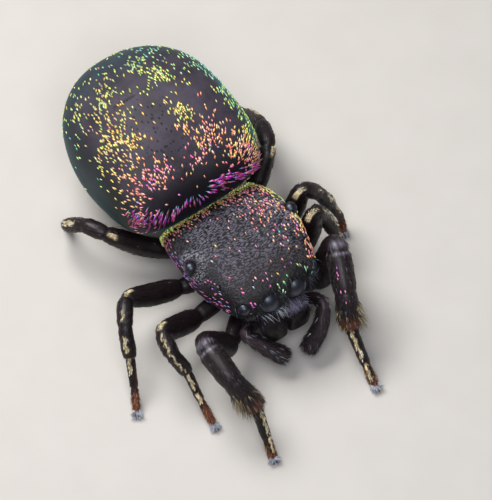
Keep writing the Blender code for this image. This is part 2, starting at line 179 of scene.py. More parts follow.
def finish(tree, shader):
    """Links the shader to the material's output."""
    add_node(tree, "ShaderNodeOutputMaterial", Surface=shader.outputs[0])


def rgba(colour):
    """A hex value as the four numbers that a colour socket takes."""
    return (*linear(colour), 1.0)


# %% [markdown]
# ### Cuticle
# The spider's skin is cuticle, a hard lacquer-like layer grown in one piece. On the carapace it is
# matte and covered with fine crosswise wrinkles. On the abdomen it is smooth, with a satin gleam
# and pinprick pits. The legs are glossier. Colour patches come from a colour that each vertex
# carries, so skin and scales can agree, and bump nodes carve what is finer than the mesh.

# %% Cuticle materials
# The real ridges are .018 mm apart, hardly more than a pixel, so they are drawn a little wider.
# Grain and pits are drawn as coarse as they need to be to show.
PEBBLE_MM = 0.020
GRAIN_MM = 0.016
PIT_MM = 0.052
MICRON = 1e-6


def carapace_cuticle():
    """Matte cuticle with short crosswise ridges: stretched, bent cells, pale tops, painted shade in
    the grooves.
    """
    material, tree = new_material("carapace_cuticle_wrinkled")
    tint = add_node(tree, "ShaderNodeAttribute", {"attribute_name": "tint"})
    across = in_millimetres(tree, (2.1, 1.0, 1.5))
    plain = in_millimetres(tree)
    bend = add_node(tree, "ShaderNodeTexNoise", Vector=across, Scale=9.0, Detail=2.0)
    warped = add_node(tree, "ShaderNodeVectorMath", {"operation": "MULTIPLY_ADD"},
                      in0=bend.outputs["Color"], in1=(0.05, 0.05, 0.05), in2=across)
    cells = add_node(tree, "ShaderNodeTexVoronoi", {"feature": "SMOOTH_F1"},
                     Vector=warped.outputs[0], Scale=1 / PEBBLE_MM, Smoothness=0.3)
    ridges = add_node(tree, "ShaderNodeMapRange", Value=cells.outputs["Distance"], From_Min=0.66,
                      From_Max=0.16)
    grain = add_node(tree, "ShaderNodeTexNoise", Vector=plain, Scale=1 / GRAIN_MM, Detail=2.0)
    broad = add_node(tree, "ShaderNodeTexNoise", Vector=plain, Scale=2.6, Detail=4.0)
    # Painted shade: the grooves between the ridges are coloured near black.
    groove = add_node(tree, "ShaderNodeMix", {"data_type": "RGBA"}, in0=ridges.outputs[0],
                      in6=rgba("#100f12"), in7=tint.outputs["Color"])
    shade = add_node(tree, "ShaderNodeMapRange", Value=broad.outputs[0], From_Min=0.3,
                     From_Max=0.7, To_Min=0.62, To_Max=1.38)
    colour = add_node(tree, "ShaderNodeVectorMath", {"operation": "SCALE"}, in0=groove.outputs[2],
                      Scale=shade.outputs[0])
    carve = add_node(tree, "ShaderNodeBump", Height=ridges.outputs[0], Distance=9 * MICRON,
                     Strength=0.9)
    fine = add_node(tree, "ShaderNodeBump", Height=grain.outputs[0], Distance=3 * MICRON,
                    Strength=0.6, Normal=carve.outputs[0])
    gloss = add_node(tree, "ShaderNodeMapRange", Value=grain.outputs[0], To_Min=0.50, To_Max=0.68)
    shader = add_node(tree, "ShaderNodeBsdfPrincipled", Base_Color=colour.outputs[0],
                      Roughness=gloss.outputs[0], Normal=fine.outputs[0],
                      Specular_IOR_Level=0.24)
    finish(tree, shader)
    return material


def abdomen_cuticle():
    """Satin cuticle, cloudy, with pinprick pits, painted near black as their shade, where the
    vertices' alpha asks for them.
    """
    material, tree = new_material("abdomen_cuticle_satin")
    tint = add_node(tree, "ShaderNodeAttribute", {"attribute_name": "tint"})
    along = in_millimetres(tree, (1.0, 1.8, 1.0))
    plain = in_millimetres(tree)
    cells = add_node(tree, "ShaderNodeTexVoronoi", Vector=along, Scale=1 / PIT_MM, Randomness=0.8)
    holes = add_node(tree, "ShaderNodeMapRange", Value=cells.outputs["Distance"], From_Min=0.16,
                     From_Max=0.34)
    pits = add_node(tree, "ShaderNodeMix", {"data_type": "FLOAT"}, in0=tint.outputs["Alpha"],
                    in2=1.0, in3=holes.outputs[0])
    cloud = add_node(tree, "ShaderNodeTexNoise", Vector=plain, Scale=3.4, Detail=5.0,
                     Roughness=0.62)
    velvet = add_node(tree, "ShaderNodeTexNoise", Vector=along, Scale=60.0, Detail=2.0)
    shade = add_node(tree, "ShaderNodeMapRange", Value=cloud.outputs[0], From_Min=0.25,
                     From_Max=0.75, To_Min=0.5, To_Max=1.5)
    cloudy = add_node(tree, "ShaderNodeVectorMath", {"operation": "SCALE"},
                      in0=tint.outputs["Color"], Scale=shade.outputs[0])
    # Painted shade: the pits are coloured near black.
    colour = add_node(tree, "ShaderNodeMix", {"data_type": "RGBA"}, in0=pits.outputs[0],
                      in6=rgba("#0a080a"), in7=cloudy.outputs[0])
    prick = add_node(tree, "ShaderNodeBump", Height=pits.outputs[0], Distance=4 * MICRON,
                     Strength=0.4)
    soft = add_node(tree, "ShaderNodeBump", Height=velvet.outputs[0], Distance=3 * MICRON,
                    Strength=0.6, Normal=prick.outputs[0])
    gloss = add_node(tree, "ShaderNodeMapRange", Value=cloud.outputs[0], To_Min=0.50, To_Max=0.72)
    shader = add_node(tree, "ShaderNodeBsdfPrincipled", Base_Color=colour.outputs[2],
                      Roughness=gloss.outputs[0], Normal=soft.outputs[0],
                      Specular_IOR_Level=0.28, Sheen_Weight=0.17, Sheen_Roughness=0.3,
                      Sheen_Tint=rgba("#128a96"))
    finish(tree, shader)
    return material


def limb_cuticle(name, roughness, coat):
    """Polished cuticle with lengthwise hair lines. Its colour is all in the vertices."""
    material, tree = new_material(name)
    tint = add_node(tree, "ShaderNodeAttribute", {"attribute_name": "tint"})
    plain = in_millimetres(tree)
    lines = add_node(tree, "ShaderNodeUVMap", {"uv_map": "limb"})
    long = add_node(tree, "ShaderNodeMapping", Vector=lines.outputs[0], Scale=(16.0, 17.0, 1.0))
    hair = add_node(tree, "ShaderNodeTexNoise", Vector=long.outputs[0], Scale=1.0, Detail=3.0)
    grain = add_node(tree, "ShaderNodeTexNoise", Vector=plain, Scale=38.0, Detail=3.0)
    shade = add_node(tree, "ShaderNodeMapRange", Value=hair.outputs[0], From_Min=0.3, From_Max=0.7,
                     To_Min=0.3, To_Max=1.9)
    colour = add_node(tree, "ShaderNodeVectorMath", {"operation": "SCALE"},
                      in0=tint.outputs["Color"], Scale=shade.outputs[0])
    carve = add_node(tree, "ShaderNodeBump", Height=hair.outputs[0], Distance=5 * MICRON,
                     Strength=0.6)
    fine = add_node(tree, "ShaderNodeBump", Height=grain.outputs[0], Distance=2 * MICRON,
                    Strength=0.6, Normal=carve.outputs[0])
    shader = add_node(tree, "ShaderNodeBsdfPrincipled", Base_Color=colour.outputs[0],
                      Roughness=roughness, Normal=fine.outputs[0], Specular_IOR_Level=0.3,
                      Coat_Weight=coat, Coat_Roughness=0.22)
    finish(tree, shader)
    return material


CARAPACE = carapace_cuticle()
ABDOMEN = abdomen_cuticle()
LEG = limb_cuticle("leg_cuticle_polished", 0.46, 0.08)
MOUTH = limb_cuticle("mouthpart_cuticle", 0.45, 0.06)
BELLY = limb_cuticle("underside_cuticle", 0.55, 0.0)
print("cuticle:", ", ".join(m.name for m in (CARAPACE, ABDOMEN, LEG, MOUTH, BELLY)))

# %% [markdown]
# ### Lenses, scales and bristles
# An eye's lens is clear, smooth cuticle over a dark cup, so it is black with a gleam. Under broad
# soft light the gleam is wide and pale blue, so the clear coat here is tinted and a little rough.
# The scales are thin layered flakes that shine like a beetle's shell. Each has one hue on its
# left half and another on its right, a partly metallic shader gives it the glint, and a painted
# highlight lies along its ridge. Bristles are plain horn-like hairs with a soft gloss.

# %% Lens, scale and bristle materials
def eye_lens():
    """Clear cuticle, smooth as grown: black, slightly cloudy depths under a pale blue coat."""
    material, tree = new_material("eye_lens_glossy")
    plain = in_millimetres(tree)
    depth = add_node(tree, "ShaderNodeTexNoise", Vector=plain, Scale=9.0, Detail=2.0)
    colour = add_node(tree, "ShaderNodeMix", {"data_type": "RGBA"}, in0=depth.outputs[0],
                      in6=rgba("#040406"), in7=rgba("#0c0d12"))
    shader = add_node(tree, "ShaderNodeBsdfPrincipled", Base_Color=colour.outputs[2],
                      Roughness=0.36, Specular_IOR_Level=0.5, Coat_Weight=1.0,
                      Coat_Roughness=0.42, Coat_Tint=rgba("#b9c8f4"))
    finish(tree, shader)
    return material


def flake(name, metallic, roughness):
    """Layered flake: its colour comes from the vertices, with a fine mottle."""
    material, tree = new_material(name)
    tint = add_node(tree, "ShaderNodeAttribute", {"attribute_name": "tint"})
    plain = in_millimetres(tree)
    mottle = add_node(tree, "ShaderNodeTexNoise", Vector=plain, Scale=70.0, Detail=2.0)
    shade = add_node(tree, "ShaderNodeMapRange", Value=mottle.outputs[0], To_Min=0.8, To_Max=1.2)
    colour = add_node(tree, "ShaderNodeVectorMath", {"operation": "SCALE"},
                      in0=tint.outputs["Color"], Scale=shade.outputs[0])
    shader = add_node(tree, "ShaderNodeBsdfPrincipled", Base_Color=colour.outputs[0],
                      Metallic=metallic, Roughness=roughness)
    finish(tree, shader)
    return material


LENS = eye_lens()
SCALE = flake("iridescent_scale", 0.25, 0.34)
BRISTLE = flake("horn_bristle", 0.0, 0.5)
print("finishes:", ", ".join(m.name for m in (LENS, SCALE, BRISTLE)))

# %% [markdown]
# ## From arrays to meshes
# Every skin here is a grid: rings of points from one end to the other, closed by a point at each
# end. numpy works the whole grid out at once. The faces are index arrays, and the sign of the
# enclosed volume tells whether they look outward. Hairs and scales are one small pattern of
# points, repeated by array arithmetic for hundreds of roots in a single mesh.

# %% Mesh helpers
def grid_faces(rows, sides):
    """Faces of a grid of rings that closes round and ends in two poles."""
    here = np.arange(sides)
    there = (here + 1) % sides
    base = (np.arange(rows - 1) * sides)[:, None]
    quads = np.stack([base + here, base + there, base + sides + there, base + sides + here], -1)
    first, last = rows * sides, rows * sides + 1
    top = (rows - 1) * sides
    start = np.stack([there, here, np.full(sides, first)], -1)
    end = np.stack([top + here, top + there, np.full(sides, last)], -1)
    return [quads.reshape(-1, 4), start, end]


def volume(points, faces):
    """Six times the enclosed volume: each face as a fan of triangles with the middle."""
    total = 0.0
    points = points - points.mean(axis=0)
    for group in faces:
        for k in range(1, group.shape[1] - 1):
            a, b, c = (points[group[:, j]] for j in (0, k, k + 1))
            total += np.einsum("ij,ij->", a, np.cross(b, c))
    return total


def make_piece(name, points, faces, material, tint):
    """Makes a mesh object of points in metres, rides it on the spider and colours its vertices."""
    if volume(points, faces) < 0:
        faces = [group[:, ::-1] for group in faces]
    mesh = bpy.data.meshes.new(name)
    mesh.from_pydata(points, [], [face for group in faces for face in group.tolist()])
    colours = np.ones((len(points), 4), np.float32)
    colours[:, :tint.shape[-1]] = tint
    mesh.color_attributes.new("tint", "FLOAT_COLOR", "POINT").data.foreach_set(
        "color", colours.ravel())
    mesh.materials.append(material)
    mesh.shade_smooth()
    piece = bpy.data.objects.new(name, mesh)
    bpy.context.scene.collection.objects.link(piece)
    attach(piece, "root")
    return piece


def grid_piece(name, grid, poles, material, tint):
    """A skin from a grid (ring, side, place) in parts, with its two pole places."""
    rows, sides, _ = grid.shape
    points = metres(np.concatenate([grid.reshape(-1, 3), np.asarray(poles, float)]))
    channels = np.shape(tint)[-1]
    tint = np.broadcast_to(tint, (rows, sides, channels)).reshape(-1, channels)
    ends = np.stack([tint[:sides].mean(axis=0), tint[-sides:].mean(axis=0)])
    return make_piece(name, points, grid_faces(rows, sides), material,
                      np.concatenate([tint, ends]))


def share_grid(rows, sides):
    """Shares along and round for the rings of a grid, without its two poles."""
    v = np.linspace(0, 1, rows + 2)[1:-1]
    u = np.arange(sides) / sides
    return np.meshgrid(v, u, indexing="ij")


def form_piece(name, form, cells, material, tint_of):
    """A skin from a form, worked out on a grid of shares and at its two poles."""
    v, u = share_grid(*cells)
    poles = form(np.array([0.0, 1.0]), np.array([0.0, 0.0]))
    return grid_piece(name, form(v, u), poles, material, tint_of(v, u))


def corner_uv(piece, name, vertex_uv):
    """Writes one UV per vertex to all the corners that use it."""
    used = np.empty(len(piece.data.loops), np.int32)
    piece.data.loops.foreach_get("vertex_index", used)
    layer = piece.data.uv_layers.new(name=name)
    layer.data.foreach_set("uv", vertex_uv[used].astype(np.float32).ravel())


def limb_uv(piece, v, u):
    """The UV map that hair lines follow: the share along, and the share round, which goes up to 1
    and back, so the lines close without a seam."""
    uv = np.stack([v.ravel(), 1 - np.abs(2 * u.ravel() - 1)], -1)
    corner_uv(piece, "limb", np.vstack([uv, [(0.0, 0.5), (1.0, 0.5)]]))


# %% [markdown]
# ### Hairs and scales
# A hair is a thin three-sided tube that bends and ends in a point. A scale is a small pointed
# leaf with a raised middle, closed underneath. Both are set root first on the skin. Each one gets
# its own patch on the map OFBake, at the place of its root on the skin's own unwrap, so that
# neighbours on the body are neighbours on the map.

# %% Hair and scale makers
PATCH = 0.003
HAIR_POINTS = 10
HAIR_STEPS = np.array([0.0, 0.35, 0.72])
HAIR_TAPER = np.array([1.0, 0.82, 0.5])
# Along, across and up, in shares of the scale's length, half width and half width
LEAF = np.array([(0, 0, 0), (0.28, 0.72, 0), (0.68, 1, 0), (1, 0, 0.1), (0.68, -1, 0),
                 (0.28, -0.72, 0), (0.55, 0, 0.55), (0.55, 0, -0.25)])
LEAF_FACES = np.array([(6, k, (k + 1) % 6) for k in range(6)]
                      + [(7, (k + 1) % 6, k) for k in range(6)])


def hair_faces():
    """Triangles of one hair: a base, two bands round and a tip."""
    faces = [(0, 2, 1)]
    for ring in (0, 3):
        for k in range(3):
            a, b = ring + k, ring + (k + 1) % 3
            faces += [(a, b, b + 3), (a, b + 3, a + 3)]
    faces += [(6 + k, 6 + (k + 1) % 3, 9) for k in range(3)]
    return np.array(faces)


HAIR_FACES = hair_faces()


def coat_piece(name, points, pattern, tint, root_uv, material):
    """Joins many small meshes (item, vertex, place) in parts into one piece with its OFBake map.
    The pattern of faces repeats for each, and so does a small ring of map places at its root."""
    count, size, _ = points.shape
    faces = (pattern[None] + size * np.arange(count)[:, None, None]).reshape(-1, 3)
    piece = make_piece(name, metres(points.reshape(-1, 3)), [faces], material,
                       tint.reshape(-1, 3))
    ring = np.arange(size) / size * 2 * math.pi
    fan = PATCH / 2 * np.stack([np.cos(ring), np.sin(ring)], -1)
    uv = np.stack(root_uv, -1)[:, None] + fan[None]
    corner_uv(piece, "OFBake", uv.reshape(-1, 2))
    print("%s: %d items, %d triangles" % (name, count, count * len(pattern)))


def hairs(roots, ways, lengths, radii, droops):
    """Centre line: root + length * (way * t + droop * t squared), three points round each step."""
    lengths = np.broadcast_to(lengths, len(roots))[:, None, None]
    radii = np.broadcast_to(radii, len(roots))[:, None, None, None]
    steps = HAIR_STEPS[None, :, None]
    line = roots[:, None] + lengths * (ways[:, None] * steps + droops[:, None] * steps ** 2)
    tip = roots + lengths[:, 0] * (ways + droops)
    side = unit(np.cross(ways, np.where(np.abs(ways[:, 2:]) > 0.9, (1.0, 0, 0), (0, 0, 1.0))))
    other = np.cross(ways, side)
    angles = np.arange(3) * 2 * math.pi / 3
    round_it = (np.cos(angles)[None, :, None] * side[:, None]
                + np.sin(angles)[None, :, None] * other[:, None])
    rings = line[:, :, None] + radii * HAIR_TAPER[None, :, None, None] * round_it[:, None]
    return np.concatenate([rings.reshape(len(roots), HAIR_POINTS - 1, 3), tip[:, None]], axis=1)


def leaves(roots, ways, normals, lengths, widths, lift):
    """Each leaf point: root + way * length * a + across * half width * b + normal * rise, where
    the rise is half width * c, and the lift, which grows toward the tip."""
    lengths = np.broadcast_to(lengths, len(roots))[:, None, None]
    half = np.broadcast_to(widths, len(roots))[:, None, None] / 2
    across = np.cross(normals, ways)
    a, b, c = (LEAF[None, :, k:k + 1] for k in range(3))
    rise = half * c + lift * (0.15 + a)
    return (roots[:, None] + ways[:, None] * lengths * a + across[:, None] * half * b
            + normals[:, None] * rise)


print("hair", len(HAIR_FACES), "triangles, scale", len(LEAF_FACES))

# %% [markdown]
# ### Where scales and hairs stand
# A skin is a function of two shares: along the body and round it. Roots are drawn at random, as
# often as a density function asks for each patch of skin, and always from the same seed. Two
# small steps along the function give the skin's directions and its outward normal there.

# %% Placing roots on a skin
def scatter(form, density, seed, count=None, spacing=0.0, cells=(160, 200)):
    """Draws roots on form(along, around). The density is in roots for each 100 square parts, or
    only relative where the count is given. With a spacing, only the first root in each cube of
    that size stays. Returns shares, places, normals, ways down the form, and the random source."""
    rng = np.random.default_rng(seed)
    along = (np.arange(cells[0]) + 0.5) / cells[0]
    around = (np.arange(cells[1]) + 0.5) / cells[1]
    v, u = np.meshgrid(along, around, indexing="ij")
    place, normal, down, across = surface(form, v.ravel(), u.ravel())
    area = np.linalg.norm(np.cross(down, across), axis=1) / (cells[0] * cells[1])
    weight = area * np.clip(density(place, normal, v.ravel(), u.ravel()), 0, None)
    count = int(round(weight.sum() / 100)) if count is None else count
    pick = rng.choice(weight.size, size=count, p=weight / weight.sum())
    v = v.ravel()[pick] + (rng.random(count) - 0.5) / cells[0]
    u = u.ravel()[pick] + (rng.random(count) - 0.5) / cells[1]
    place, normal, down, _ = surface(form, v, u)
    if spacing:
        cell = np.floor(place / spacing).astype(int)
        _, keep = np.unique(cell, axis=0, return_index=True)
        keep = np.sort(keep)
        v, u, place, normal, down = (x[keep] for x in (v, u, place, normal, down))
    return v, u, place, normal, unit(down), rng


def surface(form, v, u, step=2e-4):
    """Places on a form, its normal and its steps along and round, by differences. The normal
    points away from the place on the other side of the form."""
    v = np.clip(v, 2 * step, 1 - 2 * step)
    place = form(v, u)
    down = (form(v + step, u) - form(v - step, u)) / (2 * step)
    across = (form(v, u + step) - form(v, u - step)) / (2 * step)
    normal = unit(np.cross(across, down))
    away = ((place - form(v, u + 0.5)) * normal).sum(axis=-1, keepdims=True)
    return place, np.where(away < 0, -normal, normal), down, across


def along_skin(ways, normals):
    """The part of each way that lies in the skin, as a unit vector."""
    return unit(ways - (ways * normals).sum(axis=-1, keepdims=True) * normals)


def smooth_curve(knots, values, at):
    """Cubic curve through the values, with the mean slope of its neighbours at each knot."""
    knots = np.asarray(knots, float)
    values = np.asarray(values, float)
    slopes = np.gradient(values, knots)
    k = np.clip(np.searchsorted(knots, at) - 1, 0, len(knots) - 2)
    width = knots[k + 1] - knots[k]
    t = (at - knots[k]) / width
    rise = values[k] * (1 + 2 * t) * (1 - t) ** 2 + values[k + 1] * t * t * (3 - 2 * t)
    return rise + width * (slopes[k] * t * (1 - t) ** 2 - slopes[k + 1] * t * t * (1 - t))


def squared(value, squareness):
    """The value to the power 2 / squareness, with its sign: it fills out a circle's corners."""
    return np.sign(value) * np.abs(value) ** (2.0 / squareness)


def bump(distance, width):
    """A bell: 1 in the middle and about a third at the given width."""
    return np.exp(-(distance / width) ** 2)


def spot(left, forward, centre, size):
    """A bell round a place on the back, wide and long by its own two sizes."""
    return bump(np.hypot((left - centre[0]) / size[0], (forward - centre[1]) / size[1]), 1.0)


def blend(low, high, value):
    """0 at low, 1 at high, smooth between."""
    t = np.clip((value - low) / (high - low), 0, 1)
    return t * t * (3 - 2 * t)

# %% [markdown]
# ## Carapace
# The carapace is the plate that covers head and chest: nearly flat on top, widest behind the
# middle, with a steep face in front and a short slope behind. It is a row of rounded, squarish
# sections along the body. Low rims swell round the eyes, and a faint pit lies behind them. A
# subdivided cage could be pushed to this shape by hand. Sections from a table of measures are
# easier to check against the photo.

# %% Carapace form
CARAPACE_STATIONS = {
    "forward": (-86, -82, -74, -62, -45, -14, 15, 45, 72, 88, 96, 101),
    "half_width": (45, 60, 68.5, 72.5, 76.5, 79.5, 80.5, 74, 65.5, 58, 46, 28),
    "top": (71, 82, 98, 113, 125, 139, 144, 145, 143, 139, 135, 128),
    "widest": (67, 72, 82, 93, 101, 110, 113, 114, 113, 112, 112, 112),
    "under": (64, 62.5, 62, 62, 62, 62, 62, 64, 75, 88, 96, 102),
}
CARAPACE_SQUARENESS = 3.2
CARAPACE_END_HEIGHTS = (67.0, 114.0)
CAP = 0.035
COAT_DEPTH = 0.5
# Rims round the eyes, as shares of the eye's radius: height, distance and width
EYE_RIM = (0.20, 1.16, 0.32)
# Hollows in the back: left and forward, their two widths, and the depth
PIT = ((0, -12), (5, 9), 2.2)
TWIN_HOLLOWS = ((30, -30), (16, 16), 1.2)
EYE_NODES = ["eye_%s_%s" % (kind, side) for side in ("left", "right")
             for kind in ("front_middle", "front_side", "rear_middle", "rear_side")]
EYES = {}
for node in EYE_NODES:
    corners = np.array([parts(corner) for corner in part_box(node)])
    EYES[node] = (corners.mean(axis=0), abs(corners[1, 2] - corners[0, 2]) / 2)


def carapace_plain(v, u):
    """Sections (width * cos^(2/s), up by sin^(2/s)) along the body, with a dome at each end."""
    stations = CARAPACE_STATIONS
    first, last = stations["forward"][0], stations["forward"][-1]
    inner = np.clip((v - CAP) / (1 - 2 * CAP), 0, 1)
    forward = first + (last - first) * (1 - np.cos(math.pi * inner)) / 2
    shrink = np.clip(np.minimum(v, 1 - v) / CAP, 0, 1)
    width, top, widest, under = (smooth_curve(stations["forward"], stations[key], forward)
                                 for key in ("half_width", "top", "widest", "under"))
    angle = 2 * math.pi * u
    rise = squared(np.sin(angle), CARAPACE_SQUARENESS)
    left = width * squared(np.cos(angle), CARAPACE_SQUARENESS)
    up = widest + np.where(rise > 0, rise * (top - widest), rise * (widest - under))
    dome = np.sqrt(np.clip(1 - shrink ** 2, 0, 1))
    ahead = v > 0.5
    tip = np.where(ahead, CARAPACE_NOSE - last, CARAPACE_TAIL - first)
    middle = np.where(ahead, CARAPACE_END_HEIGHTS[1], CARAPACE_END_HEIGHTS[0])
    return np.stack([left * shrink, forward + tip * dome, middle + (up - middle) * shrink], -1)


def carapace_form(v, u):
    """The plain sections with rims round the eyes, a pit behind them and soft unevenness."""
    place = carapace_plain(v, u)
    _, normal, _, _ = surface(carapace_plain, v, u, 4e-4)
    raise_by = np.full(place.shape[:-1], -COAT_DEPTH)
    for centre, radius in EYES.values():
        gap = np.linalg.norm(place - centre, axis=-1)
        rise, distance, width = (share * radius for share in EYE_RIM)
        raise_by = raise_by + rise * bump(gap - distance, width)
    left, forward = place[..., 0], place[..., 1]
    for side, (middle, size, depth) in ((left, PIT), (np.abs(left), TWIN_HOLLOWS)):
        raise_by = raise_by - depth * spot(side, forward, middle, size)
    waves = np.sin(left * 0.21 + 3 * np.sin(forward * 0.07)) * np.sin(forward * 0.27)
    return place + normal * (raise_by + 0.25 * waves)[..., None]


# %% [markdown]
# The grid has rings close enough for the rims round the small eyes. Its colour is a dark grey,
# browner toward the face, near black down the sides and paler round the two rear side eyes. The
# face's brown is its own, but its extra darkness and the near black low and right sides are
# painted shade.

# %% Carapace skin
CARAPACE_GRID = (230, 280)
# The third tone is near black: painted shade on the low and right sides, and the own colour of the
# eye band and of the rings at the rear side eyes.
CARAPACE_TONES = linear(["#6a6672", "#2c2625", "#0d0b0c", "#94929c"])


def toned(colour, tone, share):
    """Blends a tone over colours by a share for each."""
    return colour * (1 - share[..., None]) + tone * share[..., None]


def carapace_tint(place):
    """Dark grey back; brown face, darker by painted shade; near black sides, painted shade; near
    black eye band; paler rings by two eyes.
    """
    left, forward, up = (place[..., k] for k in range(3))
    back, face, side, pale = CARAPACE_TONES
    # The face's brown is its own colour; its darkness is painted shade.
    colour = toned(np.broadcast_to(back, place.shape), face, 0.85 * blend(20, 84, forward))
    colour = toned(colour, side, 0.85 * blend(80, 96, forward))
    # Painted shade: near black low on the sides and on the right flank.
    shaded = np.maximum(blend(132, 104, up), 0.8 * blend(-46, -64, left))
    colour = toned(colour, side, 0.9 * shaded)
    for name in ("eye_rear_side_left", "eye_rear_side_right"):
        centre, radius = EYES[name]
        gap = np.linalg.norm(place - centre, axis=-1)
        colour = toned(colour, pale, 0.8 * bump(gap - 2.1 * radius, 0.8 * radius))
        colour = toned(colour, side, 0.9 * bump(gap - 1.1 * radius, 0.2 * radius))
    return colour


carapace = form_piece("carapace_skin", carapace_form, CARAPACE_GRID, CARAPACE,
                      lambda v, u: carapace_tint(carapace_form(v, u)))
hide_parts("carapace")
print("carapace", len(carapace.data.vertices), "vertices")

# %% [markdown]
# ## Abdomen
# The abdomen is a globe with a blunt, straight front that stands up behind the carapace. One
# formula gives it: a squared ellipse along the body, fuller in front than behind, times a ring
# whose corners are squarer in front. Two rows of shallow dents mark where muscles hold on to the
# inside of the skin, and a short crease crosses the back.

# %% Abdomen form
ABDOMEN_CENTRE = np.array([-6.0, -184.0, 127.0])
ABDOMEN_HALF = (107.0, 125.0, 110.0)
ABDOMEN_PITCH = math.radians(6.0)
ABDOMEN_FRONT_RISE = 0.42
ABDOMEN_FULLNESS = (4.3, 2.25)
ABDOMEN_SQUARENESS = (2.1, 2.75)
# Muscle dents: left and forward shares, radius as a share, and depth in parts
DENTS = ((-0.42, 0.36, 0.075, 0.9), (0.25, 0.56, 0.075, 0.9))
# The crease: its two ends, half width as a share, and depth in parts
CREASE = ((-0.44, -0.01), (-0.17, 0.03))
CREASE_WIDTH = 0.016
CREASE_DEPTH = 1.6
# Dents are shares of a mean radius of the globe
ABDOMEN_RADIUS = 112.0


def abdomen_shares(v, u):
    """Left, forward and up as shares of the half sizes: a squared ellipse along the body times
    squared rings, lower in front below."""
    along = math.pi * v
    reach = np.cos(along)
    fullness = np.where(reach > 0, ABDOMEN_FULLNESS[0], ABDOMEN_FULLNESS[1])
    breadth = np.clip(1 - np.abs(reach) ** fullness, 0, 1) ** (1 / fullness)
    squareness = np.interp(reach, (-1, 1), ABDOMEN_SQUARENESS)
    angle = 2 * math.pi * u
    left = breadth * squared(np.cos(angle), squareness)
    up = np.sin(along) * squared(np.sin(angle), squareness)
    up = np.where(up < 0, up * (1 - ABDOMEN_FRONT_RISE * np.clip(reach, 0, 1)), up)
    return left, reach, up


def crease_gap(left, reach):
    """Distance from the nearest place on the crease, in shares."""
    (x0, y0), (x1, y1) = CREASE
    t = np.clip(((left - x0) * (x1 - x0) + (reach - y0) * (y1 - y0))
                / ((x1 - x0) ** 2 + (y1 - y0) ** 2), 0, 1)
    return np.hypot(left - x0 - t * (x1 - x0), reach - y0 - t * (y1 - y0))


def abdomen_form(v, u):
    """The globe by its shares, pressed in at the dents and the crease, turned by its pitch."""
    left, reach, up = abdomen_shares(v, u)
    press = np.full(left.shape, COAT_DEPTH)
    above = blend(0.1, 0.4, up)
    for aside, ahead, radius, depth in DENTS:
        press = press + above * depth * spot(left, reach, (aside, ahead), (radius, radius))
    press = press + above * CREASE_DEPTH * bump(crease_gap(left, reach), CREASE_WIDTH)
    press = press + 0.6 * np.sin(5.1 * left + 2 * np.sin(4 * reach)) * np.sin(6.3 * reach) * above
    shrink = 1 - press / ABDOMEN_RADIUS
    front, rise = ABDOMEN_HALF[1] * reach * shrink, ABDOMEN_HALF[2] * up * shrink
    forward = front * math.cos(ABDOMEN_PITCH) - rise * math.sin(ABDOMEN_PITCH)
    height = front * math.sin(ABDOMEN_PITCH) + rise * math.cos(ABDOMEN_PITCH)
    return np.stack([ABDOMEN_HALF[0] * left * shrink, forward, height], -1) + ABDOMEN_CENTRE


# %% [markdown]
# Its ground colour is a purple charcoal that turns brown black in front and low on the sides,
# partly its own colour and partly painted shade. The rear has a blue green bloom. The steep flanks
# are painted teal on the left and slate to moss green on the right, a painted sheen for the colour
# that thin layers in the cuticle show at a slant.

# %% Abdomen skin
ABDOMEN_GRID = (220, 300)
# dark is partly the abdomen's own brown black and partly painted shade; teal, slate and moss are
# painted sheen.
ABDOMEN_TONES = linear(["#3a343e", "#151117", "#0f8086", "#131a22", "#0e1512", "#1a323b"])
PITTED = ((-0.20, 0.42), (0.26, 0.40))


def abdomen_tint(v, u):
    """Charcoal back; black brown front and belly, partly painted shade; teal and blue rims of
    painted sheen; a crease of painted shade. The alpha asks for pits.
    """
    left, reach, up = abdomen_shares(v, u)
    normal = surface(abdomen_form, v, u)[1]
    back, dark, teal, slate, moss, sky = ABDOMEN_TONES
    colour = toned(np.broadcast_to(back, (*left.shape, 3)), sky, 0.7 * blend(-0.1, -0.7, reach))
    # Front and low sides turn brown black: partly own colour, partly painted shade.
    low = np.maximum(blend(0.80, 0.98, reach), 0.85 * blend(0.20, -0.3, up))
    colour = toned(colour, dark, low)
    # Painted sheen: the steep flanks turn slate, moss green and teal.
    slant = blend(0.66, 0.25, normal[..., 2]) * blend(-0.45, -0.05, up) * blend(0.95, 0.7, reach)
    rim = toned(np.broadcast_to(slate, colour.shape), moss, blend(0.1, 0.6, reach))
    rim = toned(rim, teal, blend(-0.1, 0.35, left))
    colour = toned(colour, rim, 0.85 * slant)
    # Painted shade: a dark line along the crease.
    colour = toned(colour, dark, 0.9 * bump(crease_gap(left, reach), 0.014) * (up > 0))
    pits = spot(left, reach, *PITTED) * blend(0.2, 0.5, up)
    return np.concatenate([colour, np.clip(1.6 * pits, 0, 1)[..., None]], -1)


abdomen = form_piece("abdomen_skin", abdomen_form, ABDOMEN_GRID, ABDOMEN,
                     abdomen_tint)
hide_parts("abdomen")
print("abdomen", len(abdomen.data.vertices), "vertices")

# %% [markdown]
# ## Legs
# Each leg is one tube: coxa, femur, patella, tibia, metatarsus and tarsus, with a waist at each
# joint. Its line is the same as in the solids: straight stretches with rounded bends. The radius
# is a table of shares along each stretch, so the tube narrows at the joints and swells between
# them. The skin is one mesh from body to toe and stands for the leg's four solids.

